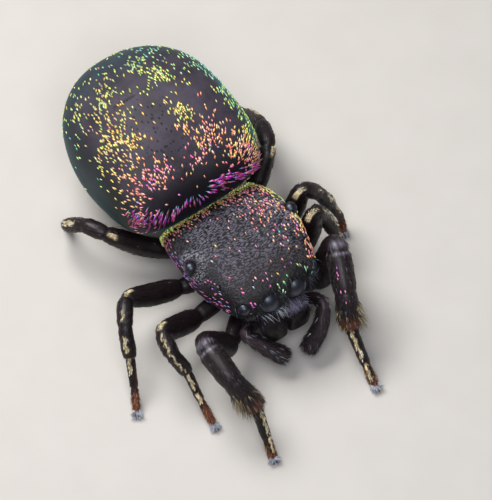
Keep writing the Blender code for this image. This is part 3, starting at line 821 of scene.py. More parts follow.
# %% Leg lines
LEG_LINES = {
    ("left", 1): ((30, 47, 48), (68, 72, 46), (96, 76, 130), (72, 132, 101), (60, 160, 62),
                  (56, 198, 28), (54, 222, 4)),
    ("right", 1): ((-30, 47, 48), (-74, 86, 48), (-121, 99, 122), (-120, 162, 112), (-103, 188, 64),
                   (-106, 213, 27), (-110, 234, 4)),
    ("left", 2): ((33, 20, 48), (82, 20, 46), (100, 23, 125), (117, 17, 90), (128, 24, 50),
                  (128, 42, 22), (119, 65, 4)),
    ("right", 2): ((-33, 20, 48), (-86, 27, 47), (-149, 45, 98), (-153, 74, 88), (-142, 90, 55),
                   (-143, 119, 26), (-144, 151, 4)),
    ("left", 3): ((33, -10, 48), (81, -20, 46), (104, -10, 132), (127, -10, 101), (143, -5, 62),
                  (154, 1, 27), (150, 11, 4)),
    ("right", 3): ((-33, -10, 48), (-80, -22, 48), (-158, -24, 94), (-179, 6, 90), (-190, 32, 57),
                   (-201, 55, 25), (-214, 79, 4)),
    ("left", 4): ((27, -36, 48), (58, -74, 41), (116, -103, 101), (130, -141, 91), (135, -186, 52),
                  (133, -228, 23), (129, -258, 4)),
    ("right", 4): ((-27, -36, 48), (-54, -76, 41), (-124, -120, 90), (-139, -146, 92),
                   (-151, -176, 62), (-141, -192, 33), (-133, -206, 4)),
}
COXA_RADIUS = 11.8
# Thickest radius of femur, patella, tibia, metatarsus and tarsus on each pair of legs
LEG_RADII = {
    1: (16.5, 16.0, 15.0, 7.8, 5.8),
    2: (13.6, 10.6, 9.6, 6.2, 5.0),
    3: (13.4, 10.4, 9.4, 6.2, 5.0),
    4: (13.6, 10.8, 9.8, 6.4, 5.0),
}
# How far the femur's middle bows outward and upward from a straight line
FEMUR_BOW = {("left", 2): (3, -1), ("left", 3): (2, 0), ("left", 4): (0, -4), ("right", 4): (0, -8)}
DEFAULT_BOW = (4, -1)
FEMUR_HEIGHT_SHARE = 1.12
BEND_SHARE = 0.34
# A place along a leg is written as the number of its segment plus the share within it
SEGMENTS = ("coxa", "femur", "patella", "tibia", "metatarsus", "tarsus")
COXA, FEMUR, PATELLA, TIBIA, METATARSUS, TARSUS = range(6)
# The front legs have a crease behind the knee: its place, width, and depth as a share
KNEE_CREASE = PATELLA + 0.18
KNEE_WIDTH = 0.045
KNEE_DEPTH = 0.08
# Segment shapes: share of the segment's length, and share of its thickest radius
SHAPES = {
    "coxa": ((0, 0.15, 0.5, 0.85, 1), (0.6, 0.96, 1.0, 0.95, 0.80)),
    "femur": ((0, 0.06, 0.2, 0.5, 0.78, 0.94, 1), (0.72, 0.82, 0.96, 1.0, 0.90, 0.80, 0.70)),
    "patella": ((0, 0.08, 0.35, 0.8, 0.95, 1), (0.74, 0.90, 1.0, 0.97, 0.92, 0.86)),
    "tibia": ((0, 0.06, 0.3, 0.75, 0.95, 1), (0.88, 0.93, 0.97, 1.0, 0.86, 0.70)),
    "metatarsus": ((0, 0.1, 0.5, 0.9, 1), (0.80, 0.99, 0.90, 0.86, 0.72)),
    "tarsus": ((0, 0.1, 0.5, 0.85, 1), (0.82, 0.96, 1.0, 0.92, 0.30)),
}


def rounded_line(corners):
    """Each inner corner becomes a parabola that starts a third of the way back on both sides."""
    corners = np.asarray(corners, float)
    points, marks = [corners[0]], [0]
    for before, corner, after in zip(corners, corners[1:], corners[2:]):
        back, on = before - corner, after - corner
        reach = BEND_SHARE * min(np.linalg.norm(back), np.linalg.norm(on))
        start, end = corner + reach * unit(back), corner + reach * unit(on)
        for t in np.linspace(0, 1, 9):
            points.append(start * (1 - t) ** 2 + corner * 2 * t * (1 - t) + end * t * t)
        marks.append(len(points) - 5)
    points.append(corners[-1])
    marks.append(len(points) - 1)
    return np.array(points), marks


def distances(points):
    """How far along a line each of its points is: the running sum of the steps between them."""
    return np.concatenate([[0], np.cumsum(np.linalg.norm(np.diff(points, axis=0), axis=1))])


def evenly(points, far, steps):
    """Places at even distances along a line, and those distances."""
    at = np.linspace(0, far[-1], steps)
    return np.stack([np.interp(at, far, points[:, k]) for k in range(3)], -1), at


def leg_line(side, pair):
    """The leg's centre line and the distance along it at each end of a segment."""
    line = np.array(LEG_LINES[side, pair], float)
    hip, knee = line[1], line[2]
    aside, lift = FEMUR_BOW.get((side, pair), DEFAULT_BOW)
    bow = (hip + knee) / 2 + (math.copysign(aside, hip[0]), 0.0, lift)
    points, marks = rounded_line(np.vstack([line[:2], bow, line[2:]]))
    far = distances(points)
    # Mark 2 is the bow in the femur's middle, not the end of a segment
    ends = far[[marks[k] for k in (0, 1, 3, 4, 5, 6, 7)]]
    return points, far, ends


def tube_frames(path):
    """Directions along a nearly flat path: its tangent, its plane's normal, and their cross."""
    tangent = unit(np.gradient(path, axis=0))
    _, _, axes = np.linalg.svd(path - path.mean(axis=0))
    plane = axes[2]
    if np.dot(plane, np.cross(tangent[0], (0.0, 0.0, 1.0))) < 0:
        plane = -plane
    side = unit(plane - tangent * (tangent @ plane)[:, None])
    return tangent, side, np.cross(side, tangent)

# %% [markdown]
# The form is again a function of two shares, so that hairs can be rooted on it by the same means
# as on the plates. Feet are pressed flat where they meet the floor.

# %% Leg form
LEG_STEPS = 170
LEG_SIDES = 30


class Limb:
    """A tube along a line: place = path + radius * (cos * side + sin * up). The numbers are the
    segment number and share at each place of the path."""

    def __init__(self, path, radii, floor=None, heights=None, numbers=None):
        self.path, self.radii, self.floor = path, radii, floor
        self.heights = radii if heights is None else heights
        self.tangent, self.side, self.up = tube_frames(path)
        self.share, self.numbers = np.linspace(0, 1, len(path)), numbers

    def at(self, values, v):
        """Numbers or places of the path, between its steps at the shares v."""
        if values.ndim == 1:
            return np.interp(v, self.share, values)
        return np.stack([np.interp(v, self.share, values[:, k]) for k in range(3)], -1)

    def number(self, v):
        """Segment number and share, such as 2.5 for the middle of the patella."""
        return self.at(self.numbers, v)

    def form(self, v, u):
        """The tube by its shares along and round, pressed flat where it meets the floor."""
        angle = 2 * math.pi * u
        wide = self.at(self.radii, v) * np.cos(angle)
        high = self.at(self.heights, v) * np.sin(angle)
        place = self.at(self.path, v) + wide[..., None] * self.at(self.side, v) \
            + high[..., None] * self.at(self.up, v)
        if self.floor is not None:
            place[..., 2] = np.maximum(place[..., 2], self.floor)
        return place


def leg_limb(side, pair):
    """Samples the leg's line and its radius, both by distance along it."""
    points, far, ends = leg_line(side, pair)
    path, at = evenly(points, far, LEG_STEPS)
    segment = np.clip(np.searchsorted(ends, at, side="right") - 1, COXA, TARSUS)
    share = (at - ends[segment]) / (ends[segment + 1] - ends[segment])
    sizes = (COXA_RADIUS, *LEG_RADII[pair])
    radii = np.zeros(len(at))
    for k, name in enumerate(SEGMENTS):
        inside = segment == k
        radii[inside] = sizes[k] * np.interp(share[inside], *SHAPES[name])
    numbers = segment + share
    femur = blend(FEMUR - 0.1, FEMUR + 0.1, numbers) * blend(PATELLA, PATELLA - 0.2, numbers)
    if pair == 1:
        radii = radii * (1 - KNEE_DEPTH * bump(numbers - KNEE_CREASE, KNEE_WIDTH))
    return Limb(path, radii, 0.0, radii * (1 + (FEMUR_HEIGHT_SHARE - 1) * femur), numbers)


limbs = {key: leg_limb(*key) for key in LEG_LINES}
lengths = [leg_line(*key)[1][-1] * PART * 1000 for key in LEG_LINES]
print("leg lengths in mm", [round(float(length), 2) for length in lengths])

# %% [markdown]
# Legs are black brown. Cream patches sit on the front side at the end of the femur, on patella,
# tibia and metatarsus, and the toes are amber. The front pair has a cream stripe down the foot
# instead, and behind its knee a crease painted dark as its shade, between two pale rims that are
# partly grey hair and partly painted highlight. The grey on top is partly fine hair and partly
# painted sheen. The same patch table later places the cream scales. It is written for the right
# legs and turned over for the left ones.

# %% Leg colours and skins
# bloom is partly fine grey hair and partly painted sheen; pale is partly grey hair and partly
# painted highlight.
LEG_TONES = linear(["#140c0f", "#2a1c1e", "#e6d2a4", "#64301a", "#3c130c", "#8f8a9c"])
# For each pair of right legs: segment, start and end as shares of it, then the middle angle from
# the front side over the top, and the half width, in degrees
PATCHES = {
    1: (("metatarsus", 0.06, 0.80, 40, 15), ("tarsus", -0.05, 0.55, 42, 16)),
    2: (("femur", 0.90, 1.0, 70, 18), ("patella", 0.15, 0.98, 60, 5), ("tibia", -0.02, 0.72, 58, 5),
        ("metatarsus", -0.02, 0.55, 62, 20), ("metatarsus", 0.74, 1.08, 56, 26)),
    3: (("femur", 0.91, 1.0, 66, 17), ("patella", 0.55, 0.90, 58, 5), ("tibia", 0.28, 0.78, 58, 14),
        ("metatarsus", -0.02, 0.50, 58, 20)),
    4: (("femur", 0.90, 0.98, 80, 14), ("tibia", 0.25, 0.80, 92, 16),
        ("metatarsus", 0.10, 0.50, 70, 20)),
}


def leg_patches(side, pair):
    """The pair's patches. On the left legs the angle starts from the rear side, so it is turned
    over to half a turn less the middle angle."""
    return [(name, start, end, 180 - middle if side == "left" else middle, half)
            for name, start, end, middle, half in PATCHES[pair]]


def patch_mask(limb, patches, v, u):
    """1 inside the patches, fading over their edges, which wave a little."""
    at = limb.number(v)
    angle = (360 * u) % 360
    mask = np.zeros(np.broadcast(v, u).shape)
    for name, start, end, middle, half in patches:
        base = SEGMENTS.index(name)
        inside = blend(base + start - 0.03, base + start + 0.03, at) \
            * blend(base + end + 0.03, base + end - 0.03, at)
        gap = np.abs((angle - middle - 8 * np.sin(20 * at) + 180) % 360 - 180)
        mask = np.maximum(mask, inside * blend(half + 4, half - 3, gap))
    return mask


def leg_tint(limb, pair, patches, v, u):
    """Dark cuticle, grey of fine hair on top, partly painted sheen, cream in the patches, amber
    toes, dark red at the joints. The front legs have pale rims, partly painted highlight, on both
    sides of the knee's crease, which is painted dark as its shade."""
    at = limb.number(v)
    high = np.sin(2 * math.pi * u)
    dark, bloom, cream, amber, red, pale = LEG_TONES
    # Painted sheen on top from patella to metatarsus, partly the grey of fine hair.
    colour = toned(np.broadcast_to(dark, (*at.shape, 3)), bloom,
                   0.30 * blend(0.45, 1.0, high) * blend(1.9, 2.1, at) * blend(4.0, 3.8, at))
    joint = np.maximum(bump(at - METATARSUS, 0.05), 0.7 * bump(at - TARSUS, 0.06))
    colour = toned(colour, red, 0.8 * joint)
    toe = 5.55 if pair == 1 else 5.3
    toes = np.maximum(0.6 * blend(4.2, 4.6, at) * blend(0.35, -0.25, high),
                      blend(toe - 0.2, toe + 0.2, at + 0.08 * np.sin(6 * math.pi * u)))
    colour = toned(colour, amber, 0.85 * toes * blend(6.0, 5.9, at))
    if pair == 1:
        colour = toned(colour, amber, 0.6 * blend(3.55, 3.9, at) * blend(4.04, 4.0, at))
        # Pale rims by the knee's crease: partly grey hair, partly painted highlight, strongest on
        # top.
        rim = 0.7 * bump(at - KNEE_CREASE + 0.08, 0.05) + bump(at - KNEE_CREASE - 0.07, 0.03)
        colour = toned(colour, pale, 0.42 * rim * blend(-0.1, 0.8, high))
        # Painted shade: a near black line in the knee's crease.
        colour = toned(colour, 0.1 * dark, 0.95 * bump(at - KNEE_CREASE, 0.025))
    return toned(colour, cream, 0.7 * patch_mask(limb, patches, v, u))


POLE_REACH = (-0.4, 0.5)


def limb_piece(name, limb, sides, material, tint_of):
    """Meshes a limb. Its poles stand out from both ends by shares of the radius there."""
    v, u = np.meshgrid(limb.share, np.arange(sides) / sides, indexing="ij")
    reach = limb.radii[[0, -1]] * POLE_REACH
    poles = limb.path[[0, -1]] + limb.tangent[[0, -1]] * reach[:, None]
    poles[:, 2] = np.maximum(poles[:, 2], 0.0)
    piece = grid_piece(name, limb.form(v, u), poles, material, tint_of(v, u))
    limb_uv(piece, v, u)
    return piece


for (side, pair), limb in limbs.items():
    patches = leg_patches(side, pair)
    name = "leg_%s_%d" % (side, pair)
    leg = limb_piece(name + "_skin", limb, LEG_SIDES, LEG,
                     lambda v, u: leg_tint(limb, pair, patches, v, u))
    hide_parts(*(name + "_" + part for part in ("femur", "patella", "tibia", "foot")))
print("8 legs,", LEG_STEPS * LEG_SIDES, "vertices each")

# %% [markdown]
# ## Palps, jaws and underside
# The palps are short feelers beside the mouth, built like small legs with a thick, bristly end.
# The jaws are two blocky pillars under the front eyes, side by side. Below lies the flat
# breastplate with the mouth parts in front, and a thin stalk joins the abdomen.

# %% Palps
PALP_LINES = {
    "left": ((33, 79, 47), (46, 98, 66), (50, 117, 72), (32, 132, 50), (7, 138, 27)),
    "right": ((-33, 79, 47), (-46, 84, 62), (-55, 93, 64), (-38, 114, 46), (-20, 133, 30)),
}
PALP_BASE_SHAPE = ((0, 0.55, 0.92, 1), (6.5, 7.8, 8.6, 7.6))
PALP_TIP_SHAPE = ((0, 0.06, 0.5, 0.85, 0.95, 1), (7.8, 8.8, 10.2, 10.8, 9.8, 6.4))
# The corner of the line where the base ends and the tip starts
PALP_SPLIT = 2
PALP_STEPS = 90
PALP_SIDES = 26
# The second tone is painted light on top of the palps; the third is the lilac of the jaws.
MOUTH_TONES = linear(["#1c1215", "#4c3c44", "#8d86a2"])
# Near black: the jaws' own dark brown, darkened further as painted shade under the face.
JAW_TONE = linear("#0d090a")


def palp_limb(side):
    """Two lengths, each with its own table of radii, parted at the end of the palp's patella."""
    points, marks = rounded_line(PALP_LINES[side])
    far = distances(points)
    path, at = evenly(points, far, PALP_STEPS)
    split = far[marks[PALP_SPLIT]]
    radii = np.where(at < split, np.interp(at / split, *PALP_BASE_SHAPE),
                     np.interp((at - split) / (far[-1] - split), *PALP_TIP_SHAPE))
    limb = Limb(path, radii)
    limb.split = split / far[-1]
    return limb


def mouth_tint(v, u):
    """Brown black, lighter on top as painted light."""
    # Painted light: the top is lighter.
    high = blend(0.2, 1.0, np.sin(2 * math.pi * u))
    return toned(np.broadcast_to(MOUTH_TONES[0], (*high.shape, 3)), MOUTH_TONES[1], 0.5 * high)


palps = {side: palp_limb(side) for side in PALP_LINES}
for side, limb in palps.items():
    palp = limb_piece("palp_%s_skin" % side, limb, PALP_SIDES, MOUTH, mouth_tint)
    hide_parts("palp_%s_base" % side, "palp_%s_tip" % side)
print("2 palps")

# %% Jaws
JAW_LINE = ((17.5, 84, 83), (18.3, 95, 70), (17.9, 102, 56), (15.8, 104, 39))
JAW_SQUARENESS = 2.9
JAW_HALF = ((15.0, 9.5), (17.0, 12.5), (16.7, 13.0), (14.4, 10.5))
JAW_GRID = (60, 48)
JAW_CAP = 0.08
JAW_CAP_RISE = 3.0
# The rings' depth leans from forward toward up
JAW_SLOPE = (0.86, 0.5)
LILAC_SHARE = {"left": 0.6, "right": 0.04}


def jaw_form(mirror):
    """Squared rings down a curved line, drawn in to a rounded end above and below."""
    knots = np.linspace(0, 1, len(JAW_LINE))

    def form(v, u):
        at = np.clip((v - JAW_CAP) / (1 - 2 * JAW_CAP), 0, 1)
        close = np.clip(np.minimum(v, 1 - v) / JAW_CAP, 0, 1)
        shrink = np.sqrt(1 - (1 - close) ** 2)
        line = np.stack([smooth_curve(knots, np.array(JAW_LINE)[:, k], at) for k in range(3)], -1)
        line[..., 2] += np.where(v < 0.5, 1, -1) * JAW_CAP_RISE * (1 - close)
        line[..., 0] *= mirror
        wide, deep = (smooth_curve(knots, np.array(JAW_HALF)[:, k], at) * shrink for k in (0, 1))
        angle = 2 * math.pi * u
        left = wide * squared(np.cos(angle), JAW_SQUARENESS)
        thick = deep * squared(np.sin(angle), JAW_SQUARENESS)
        return line + np.stack([left, thick * JAW_SLOPE[0], thick * JAW_SLOPE[1]], -1)
    return form


def jaw_tint(side, v, u):
    """Black, partly painted shade under the face, with a lilac bloom on the upper half of the front
    that is strong on the left jaw.
    """
    lilac = LILAC_SHARE[side] * blend(0.5, 0.25, v) * blend(-0.2, 0.4, np.sin(2 * math.pi * u))
    return toned(np.broadcast_to(JAW_TONE, (*v.shape, 3)), MOUTH_TONES[2], lilac)


jaws = {side: jaw_form(mirror) for side, mirror in (("left", 1), ("right", -1))}
for side, form in jaws.items():
    jaw = form_piece("chelicera_%s_skin" % side, form, JAW_GRID, MOUTH,
                     lambda v, u: jaw_tint(side, v, u))
    limb_uv(jaw, *share_grid(*JAW_GRID))
    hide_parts("chelicera_" + side)
print("2 jaws")

# %% Underside, stalk and spinnerets
UNDERSIDE_STATIONS = {
    "forward": (-49, -40, -20, 5, 30, 46, 58, 70, 77),
    "half_width": (7, 18, 26, 29, 26, 20, 19, 16, 8),
    "bottom": (44, 39, 36, 35, 36, 38, 39, 41, 47),
}
UNDERSIDE_TOP = 60.3
UNDERSIDE_SQUARENESS = 2.8
UNDERSIDE_GRID = (90, 80)
# Cross grooves: forward place, width and depth, and the depth of the groove down the middle
PLATE_GROOVES = ((33, 2.0, 2.0), (50, 1.6, 1.4))
MIDDLE_GROOVE = 1.6
BELLY_TONE = linear("#231c1b")


def underside_form(v, u):
    """Breastplate, lip and mouth plates: squared sections with grooves between the plates."""
    stations = UNDERSIDE_STATIONS
    first, last = stations["forward"][0], stations["forward"][-1]
    inner = np.clip((v - CAP) / (1 - 2 * CAP), 0, 1)
    forward = first + (last - first) * inner
    shrink = np.clip(np.minimum(v, 1 - v) / CAP, 0, 1)
    width = smooth_curve(stations["forward"], stations["half_width"], forward)
    bottom = smooth_curve(stations["forward"], stations["bottom"], forward)
    angle = 2 * math.pi * u
    rise = squared(np.sin(angle), UNDERSIDE_SQUARENESS)
    left = width * squared(np.cos(angle), UNDERSIDE_SQUARENESS)
    groove = sum(depth * bump(forward - place, wide) for place, wide, depth in PLATE_GROOVES)
    groove = groove + np.where(forward > 50, MIDDLE_GROOVE * bump(left, 2.0), 0.0)
    up = (UNDERSIDE_TOP + bottom) / 2 + rise * (UNDERSIDE_TOP - bottom) / 2
    up = up + np.where(rise < 0, groove * -rise, 0.0)
    middle = (UNDERSIDE_TOP + bottom) / 2
    return np.stack([left * shrink, forward, middle + (up - middle) * shrink], -1)


def belly_tint(v, u):
    """The same brown black all over."""
    return BELLY_TONE


belly = form_piece("underside_skin", underside_form, UNDERSIDE_GRID, BELLY,
                   belly_tint)
limb_uv(belly, *share_grid(*UNDERSIDE_GRID))
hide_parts("underside")

# The stalk is a short tube with faint rings
stalk_middle = np.array([parts(corner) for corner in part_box("pedicel")]).mean(axis=0)
STALK_REACH = 5.5
STALK_RADIUS = 5.2
along = np.linspace(-1, 1, 20)
path = stalk_middle + np.outer(along, (0, STALK_REACH, 0))
waist = STALK_RADIUS * (0.86 + 0.14 * np.cos(along * 9))
stalk = limb_piece("pedicel_skin", Limb(path, waist), 24, BELLY, belly_tint)
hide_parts("pedicel")

# The spinnerets stand on the abdomen's underside, 30 degrees forward of its rear end
SPINNERET_ANGLE = 30.0
SPINNERET_LENGTH = 15.0
SPINNERET_SHAPE = ((0, 0.55, 0.62, 0.95, 1), (5.2, 4.7, 3.7, 2.8, 1.5))
SPINNERET_SPREAD = 5.5
# Four tips: place to the left and up as shares of the spread, and length as a share
SPINNERETS = ((-1, 0.7, 0.8), (1, 0.7, 0.8), (-0.9, -0.8, 1.0), (0.9, -0.8, 1.0))
# Their common base: its start and end from the abdomen's skin, and its radii
PLATE_ENDS = (1.2, 6.0)
PLATE_RADII = (11.0, 10.6, 8.6)
root = abdomen_form(np.array([1 - SPINNERET_ANGLE / 180]), np.array([0.75]))[0]
away = unit(root - ABDOMEN_CENTRE)
spread_up = np.cross((1.0, 0.0, 0.0), away)
plate = Limb(root + np.outer(np.linspace(*PLATE_ENDS, 12), away),
             np.interp(np.linspace(0, 1, 12), (0, 0.5, 1), PLATE_RADII))
plate = limb_piece("spinneret_base_skin", plate, 30, BELLY, belly_tint)
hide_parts("spinnerets")
for left, up, long in SPINNERETS:
    foot = root + 3.0 * away + SPINNERET_SPREAD * (np.array([left, 0, 0]) + up * spread_up)
    lean = away * SPINNERET_LENGTH * long + np.array([1.5 * left, 0, 0])
    along = np.linspace(0, 1, 30)
    tip = Limb(foot + np.outer(along, lean), np.interp(along, *SPINNERET_SHAPE))
    side, level = "left" if left > 0 else "right", "upper" if up > 0 else "lower"
    limb_piece("spinneret_%s_%s_skin" % (side, level), tip, 20, BELLY,
               belly_tint)
print("underside, stalk and 4 spinnerets")

# %% [markdown]
# ## Eyes
# Eight eyes: two large ones look ahead, two smaller ones flank them, a tiny pair and a middle
# pair sit farther back on the sides. Each is a smooth lens that bulges from its rim. A ball is
# enough, because the skin hides its root, but its front is drawn out a little like a real lens.

# %% Eyes
EYE_GRID = (40, 56)
LENS_BULGE = 0.05
LENS_TONE = linear("#0b0d14")


def eye_form(centre, radius):
    """A ball round a forward axis, whose forward half is stretched by the bulge's share."""
    def form(v, u):
        polar = math.pi * v
        forward = np.cos(polar) * (1 + LENS_BULGE * (np.cos(polar) > 0))
        side = np.sin(polar)
        return centre + radius * np.stack([side * np.cos(2 * math.pi * u), forward,
                                           side * np.sin(2 * math.pi * u)], -1)
    return form


for node, (centre, radius) in EYES.items():
    eye = form_piece(node + "_lens", eye_form(centre, radius), EYE_GRID, LENS,
                     lambda v, u: LENS_TONE)
    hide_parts(node)
print("8 eyes, radii in mm", sorted({round(r * PART * 1000, 3) for _, r in EYES.values()}))

# %% [markdown]
# ## Scales on the abdomen
# On the living animal the scales wear off in places, so they stand in patches with bare skin
# between: pairs of patches along the back, a bare band down the middle, and a thick cover on the
# left flank. They lie flat and point backward. Their colour shifts from green behind through gold
# and orange to pink in front, and back toward green on the flanks.

# %% Abdomen scales
GLINTS = {
    "teal": linear(["#1c8f93", "#38c8b8", "#7fe8cf", "#2c86c4"]),
    "green": linear(["#3fa63c", "#8fdc3f", "#d6ff6e", "#36c48e"]),
    "gold": linear(["#d6df3c", "#fff04f", "#fff6a8", "#ffc93e"]),
    "orange": linear(["#ff9a2e", "#ffb55e", "#ff7d4a", "#ffe08a"]),
    "pink": linear(["#ff5f86", "#ff86b8", "#e83fae", "#ffb0a0"]),
    "violet": linear(["#b43cf0", "#f04bd6", "#8a4cf0", "#3f9dff"]),
}
# Patches: left and forward shares, their spreads, scales on 100 square parts, and the hue's
# place in the list of glints
ABDOMEN_PATCHES = (
    (0.27, 0.00, 0.10, 0.08, 14.0, 1.6), (0.14, -0.10, 0.16, 0.15, 4.5, 1.5),
    (0.09, -0.32, 0.13, 0.07, 5.0, 1.1), (-0.54, -0.08, 0.08, 0.06, 14.0, 1.6),
    (-0.42, -0.20, 0.09, 0.07, 7.0, 1.5), (-0.31, -0.31, 0.06, 0.09, 5.0, 1.3),
    (-0.48, 0.17, 0.15, 0.10, 4.0, 2.1), (-0.52, 0.44, 0.10, 0.07, 10.0, 2.3),
    (-0.63, 0.36, 0.10, 0.06, 6.0, 2.2), (-0.73, 0.30, 0.08, 0.06, 4.0, 2.0),
    (-0.57, 0.27, 0.07, 0.05, 4.0, 2.2), (0.16, 0.47, 0.10, 0.075, 14.0, 2.1),
    (0.09, 0.61, 0.10, 0.05, 6.0, 2.6), (0.28, 0.72, 0.13, 0.06, 8.0, 3.2),
    (0.23, 0.81, 0.11, 0.04, 6.0, 3.4), (0.10, 0.85, 0.09, 0.04, 6.0, 3.5),
    (-0.46, 0.80, 0.16, 0.07, 7.0, 3.7), (-0.71, 0.58, 0.12, 0.08, 5.0, 2.5),
    (-0.77, 0.72, 0.10, 0.07, 5.0, 2.9), (-0.95, 0.69, 0.05, 0.09, 2.0, 3.1),
    (-0.84, 0.86, 0.10, 0.05, 6.0, 3.2), (0.67, 0.90, 0.15, 0.06, 14.0, 3.4),
    (0.82, 0.62, 0.06, 0.10, 6.0, 1.1), (0.80, 0.39, 0.07, 0.12, 5.0, 1.0),
    (0.77, 0.83, 0.08, 0.06, 6.0, 2.0), (0.50, 0.86, 0.10, 0.05, 5.0, 3.3),
    (0.38, -0.42, 0.16, 0.12, 3.0, 0.7), (0.75, 0.00, 0.12, 0.16, 3.0, 0.6),
    (-0.70, -0.32, 0.13, 0.13, 2.2, 1.2),
    (-0.62, 0.30, 0.28, 0.42, 1.6, 2.2), (0.42, 0.76, 0.24, 0.14, 1.6, 3.0),
    (-0.30, 0.80, 0.50, 0.09, 1.6, 3.7),
)
# Bare skin: left and forward shares of the middle, and its spreads
ABDOMEN_BARE = (((-0.20, 0.42), (0.13, 0.34)), ((-0.48, 0.92), (0.22, 0.03)),
                ((0.06, 0.97), (0.20, 0.05)), ((-0.30, 0.01), (0.12, 0.04)))
# Length and width of a scale, and how far it lies off the skin
SCALE_SIZE = (6.4, 2.5)
SCALE_LIFT = 0.7


def patches_on(left, forward):
    """The patches' own density and the hue that they give, each by its share of the density."""
    total = np.full(left.shape, 1e-9)
    hues = np.zeros(left.shape)
    for aside, ahead, wide, long, thick, hue in ABDOMEN_PATCHES:
        here = thick * spot(left, forward, (aside, ahead), (wide, long))
        total += here
        hues += here * hue
    return total, hues / total


def abdomen_density(place, normal, v, u):
    """The patches over a thin cover, less the bare places, plus the left flank and the rear. The
    low right side, the belly and the front edge stay bare."""
    left, reach, up = abdomen_shares(v, u)
    total = 0.5 + 1.05 * patches_on(left, reach)[0] * blend(-0.1, 0.1, up)
    for middle, size in ABDOMEN_BARE:
        total = total * (1 - 0.95 * spot(left, reach, middle, size))
    flank = blend(0.84, 0.98, left) * blend(-0.5, -0.1, up)
    rear = blend(-0.55, -0.85, reach) * blend(-0.6, -0.1, up)
    bare = 1 - 0.9 * blend(-0.84, -0.95, left) * blend(0.55, 0.15, up)
    total = total * bare + 2.2 * flank + 0.3 * rear
    return total * blend(-0.7, -0.3, up) * blend(0.995, 0.95, reach)


def glint(rng, hue):
    """A colour for each scale: its hue from 0 to 5 along the list, then a random member of it."""
    count = len(hue)
    base = np.clip(np.round(hue + rng.normal(0, 0.50, count)).astype(int), 0, len(GLINTS) - 1)
    return np.stack(list(GLINTS.values()))[base, rng.integers(0, 4, count)]


def leaf_tints(rng, hue):
    """Each leaf shines in one hue on its left half, in the next on its right, and pale between as a
    painted glint.
    """
    side = (0.5 + 0.5 * LEAF[:, 1])[None, :, None]
    colour = glint(rng, hue + 0.8)[:, None] * side + glint(rng, hue - 0.6)[:, None] * (1 - side)
    # Painted highlight: the raised ridge is blended toward white.
    ridge = 0.22 * (LEAF[:, 2] > 0.5)[None, :, None]
    return (colour * (1 - ridge) + ridge) * rng.uniform(0.7, 1.25, (len(hue), 1, 1))


def scale_points(place, normal, ways, rng, size, lift):
    """Leaves whose length and width vary about the size."""
    long = size[0] * rng.uniform(0.75, 1.3, len(place))
    wide = size[1] * rng.uniform(0.8, 1.25, len(place))
    return leaves(place, ways, normal, long, wide, lift)


v, u, place, normal, _, rng = scatter(abdomen_form, abdomen_density, seed=5, spacing=2.2)
left, reach, up = abdomen_shares(v, u)
ways = along_skin(np.array([0.0, -1.0, 0.0]) + rng.normal(0, 0.20, place.shape), normal)
dense, patch_hue = patches_on(left, reach)
plain_hue = 1.2 + 2.2 * blend(-0.3, 0.95, reach) - 1.7 * blend(0.7, 1.0, np.abs(left))
share = dense / (dense + 0.6)
hue = patch_hue * share + plain_hue * (1 - share)
scales = scale_points(place, normal, ways, rng, SCALE_SIZE, SCALE_LIFT)
coat_piece("abdomen_scales", scales, LEAF_FACES, leaf_tints(rng, hue), (u, v), SCALE)

# %% [markdown]
# ### The front fringe
# Over the abdomen's front edge the scales are longer and feathery. They fan out to both sides
# from a bare dark notch in the middle, blue at the root, then violet or pink, and warmer at the
# left corner. The same leaf serves, with a colour that changes along it.

# %% Abdomen fringe
# The bare notch and the middle lines of the bands as (left, forward, up) in parts, with their
# half widths and the lobes on 100 square parts
NOTCH = np.array((-17.0, -67.0, 168.0))
NOTCH_WIDTH = 9.0
FRINGE_BANDS = (
    (((-100, -83, 154), (-87, -73, 159), (-72, -66, 158), (-54, -63, 156), (-35, -62, 157),
      (-19, -62, 157)), 8.0, 7.5),
    (((5, -65, 162), (22, -65, 160), (37, -64, 156), (52, -63, 149), (68, -66, 141)), 6.0, 12.0),
    (((-8, -62, 157), (3, -62, 154), (16, -60, 147)), 3.5, 5.0),
)
FRINGE_SIZE = (9.2, 3.0)
FRINGE_LIFT = 1.0
# Left of this place the tips are a step warmer
FRINGE_CORNER = 55
FRINGE_ROOTS = linear(["#2a8cf0", "#2fc4e0", "#35d0c0"])
FRINGE_TIPS = linear(["#ff46bc", "#f03cc0", "#ff7fb2", "#c846e8", "#ff6a92", "#ff9a72"])


def near_line(place, corners):
    """Distance from each place to a line with bends."""
    gaps = []
    for start, end in zip(corners, corners[1:]):
        along = end - start
        t = np.clip((place - start) @ along / (along @ along), 0, 1)
        gaps.append(np.linalg.norm(place - start - t[..., None] * along, axis=-1))
    return np.min(gaps, axis=0)


def fringe_density(place, normal, v, u):
    """The densest of the bands at each place, less the notch."""
    total = np.zeros(v.shape)
    for corners, half_width, thick in FRINGE_BANDS:
        near = near_line(place, np.array(corners, float))
        total = np.maximum(total, thick * bump(near, half_width))
    return total * (1 - 0.97 * bump(np.linalg.norm(place - NOTCH, axis=-1), NOTCH_WIDTH))


v, u, place, normal, _, rng = scatter(abdomen_form, fringe_density, seed=6, spacing=2.2,
                                      cells=(400, 400))
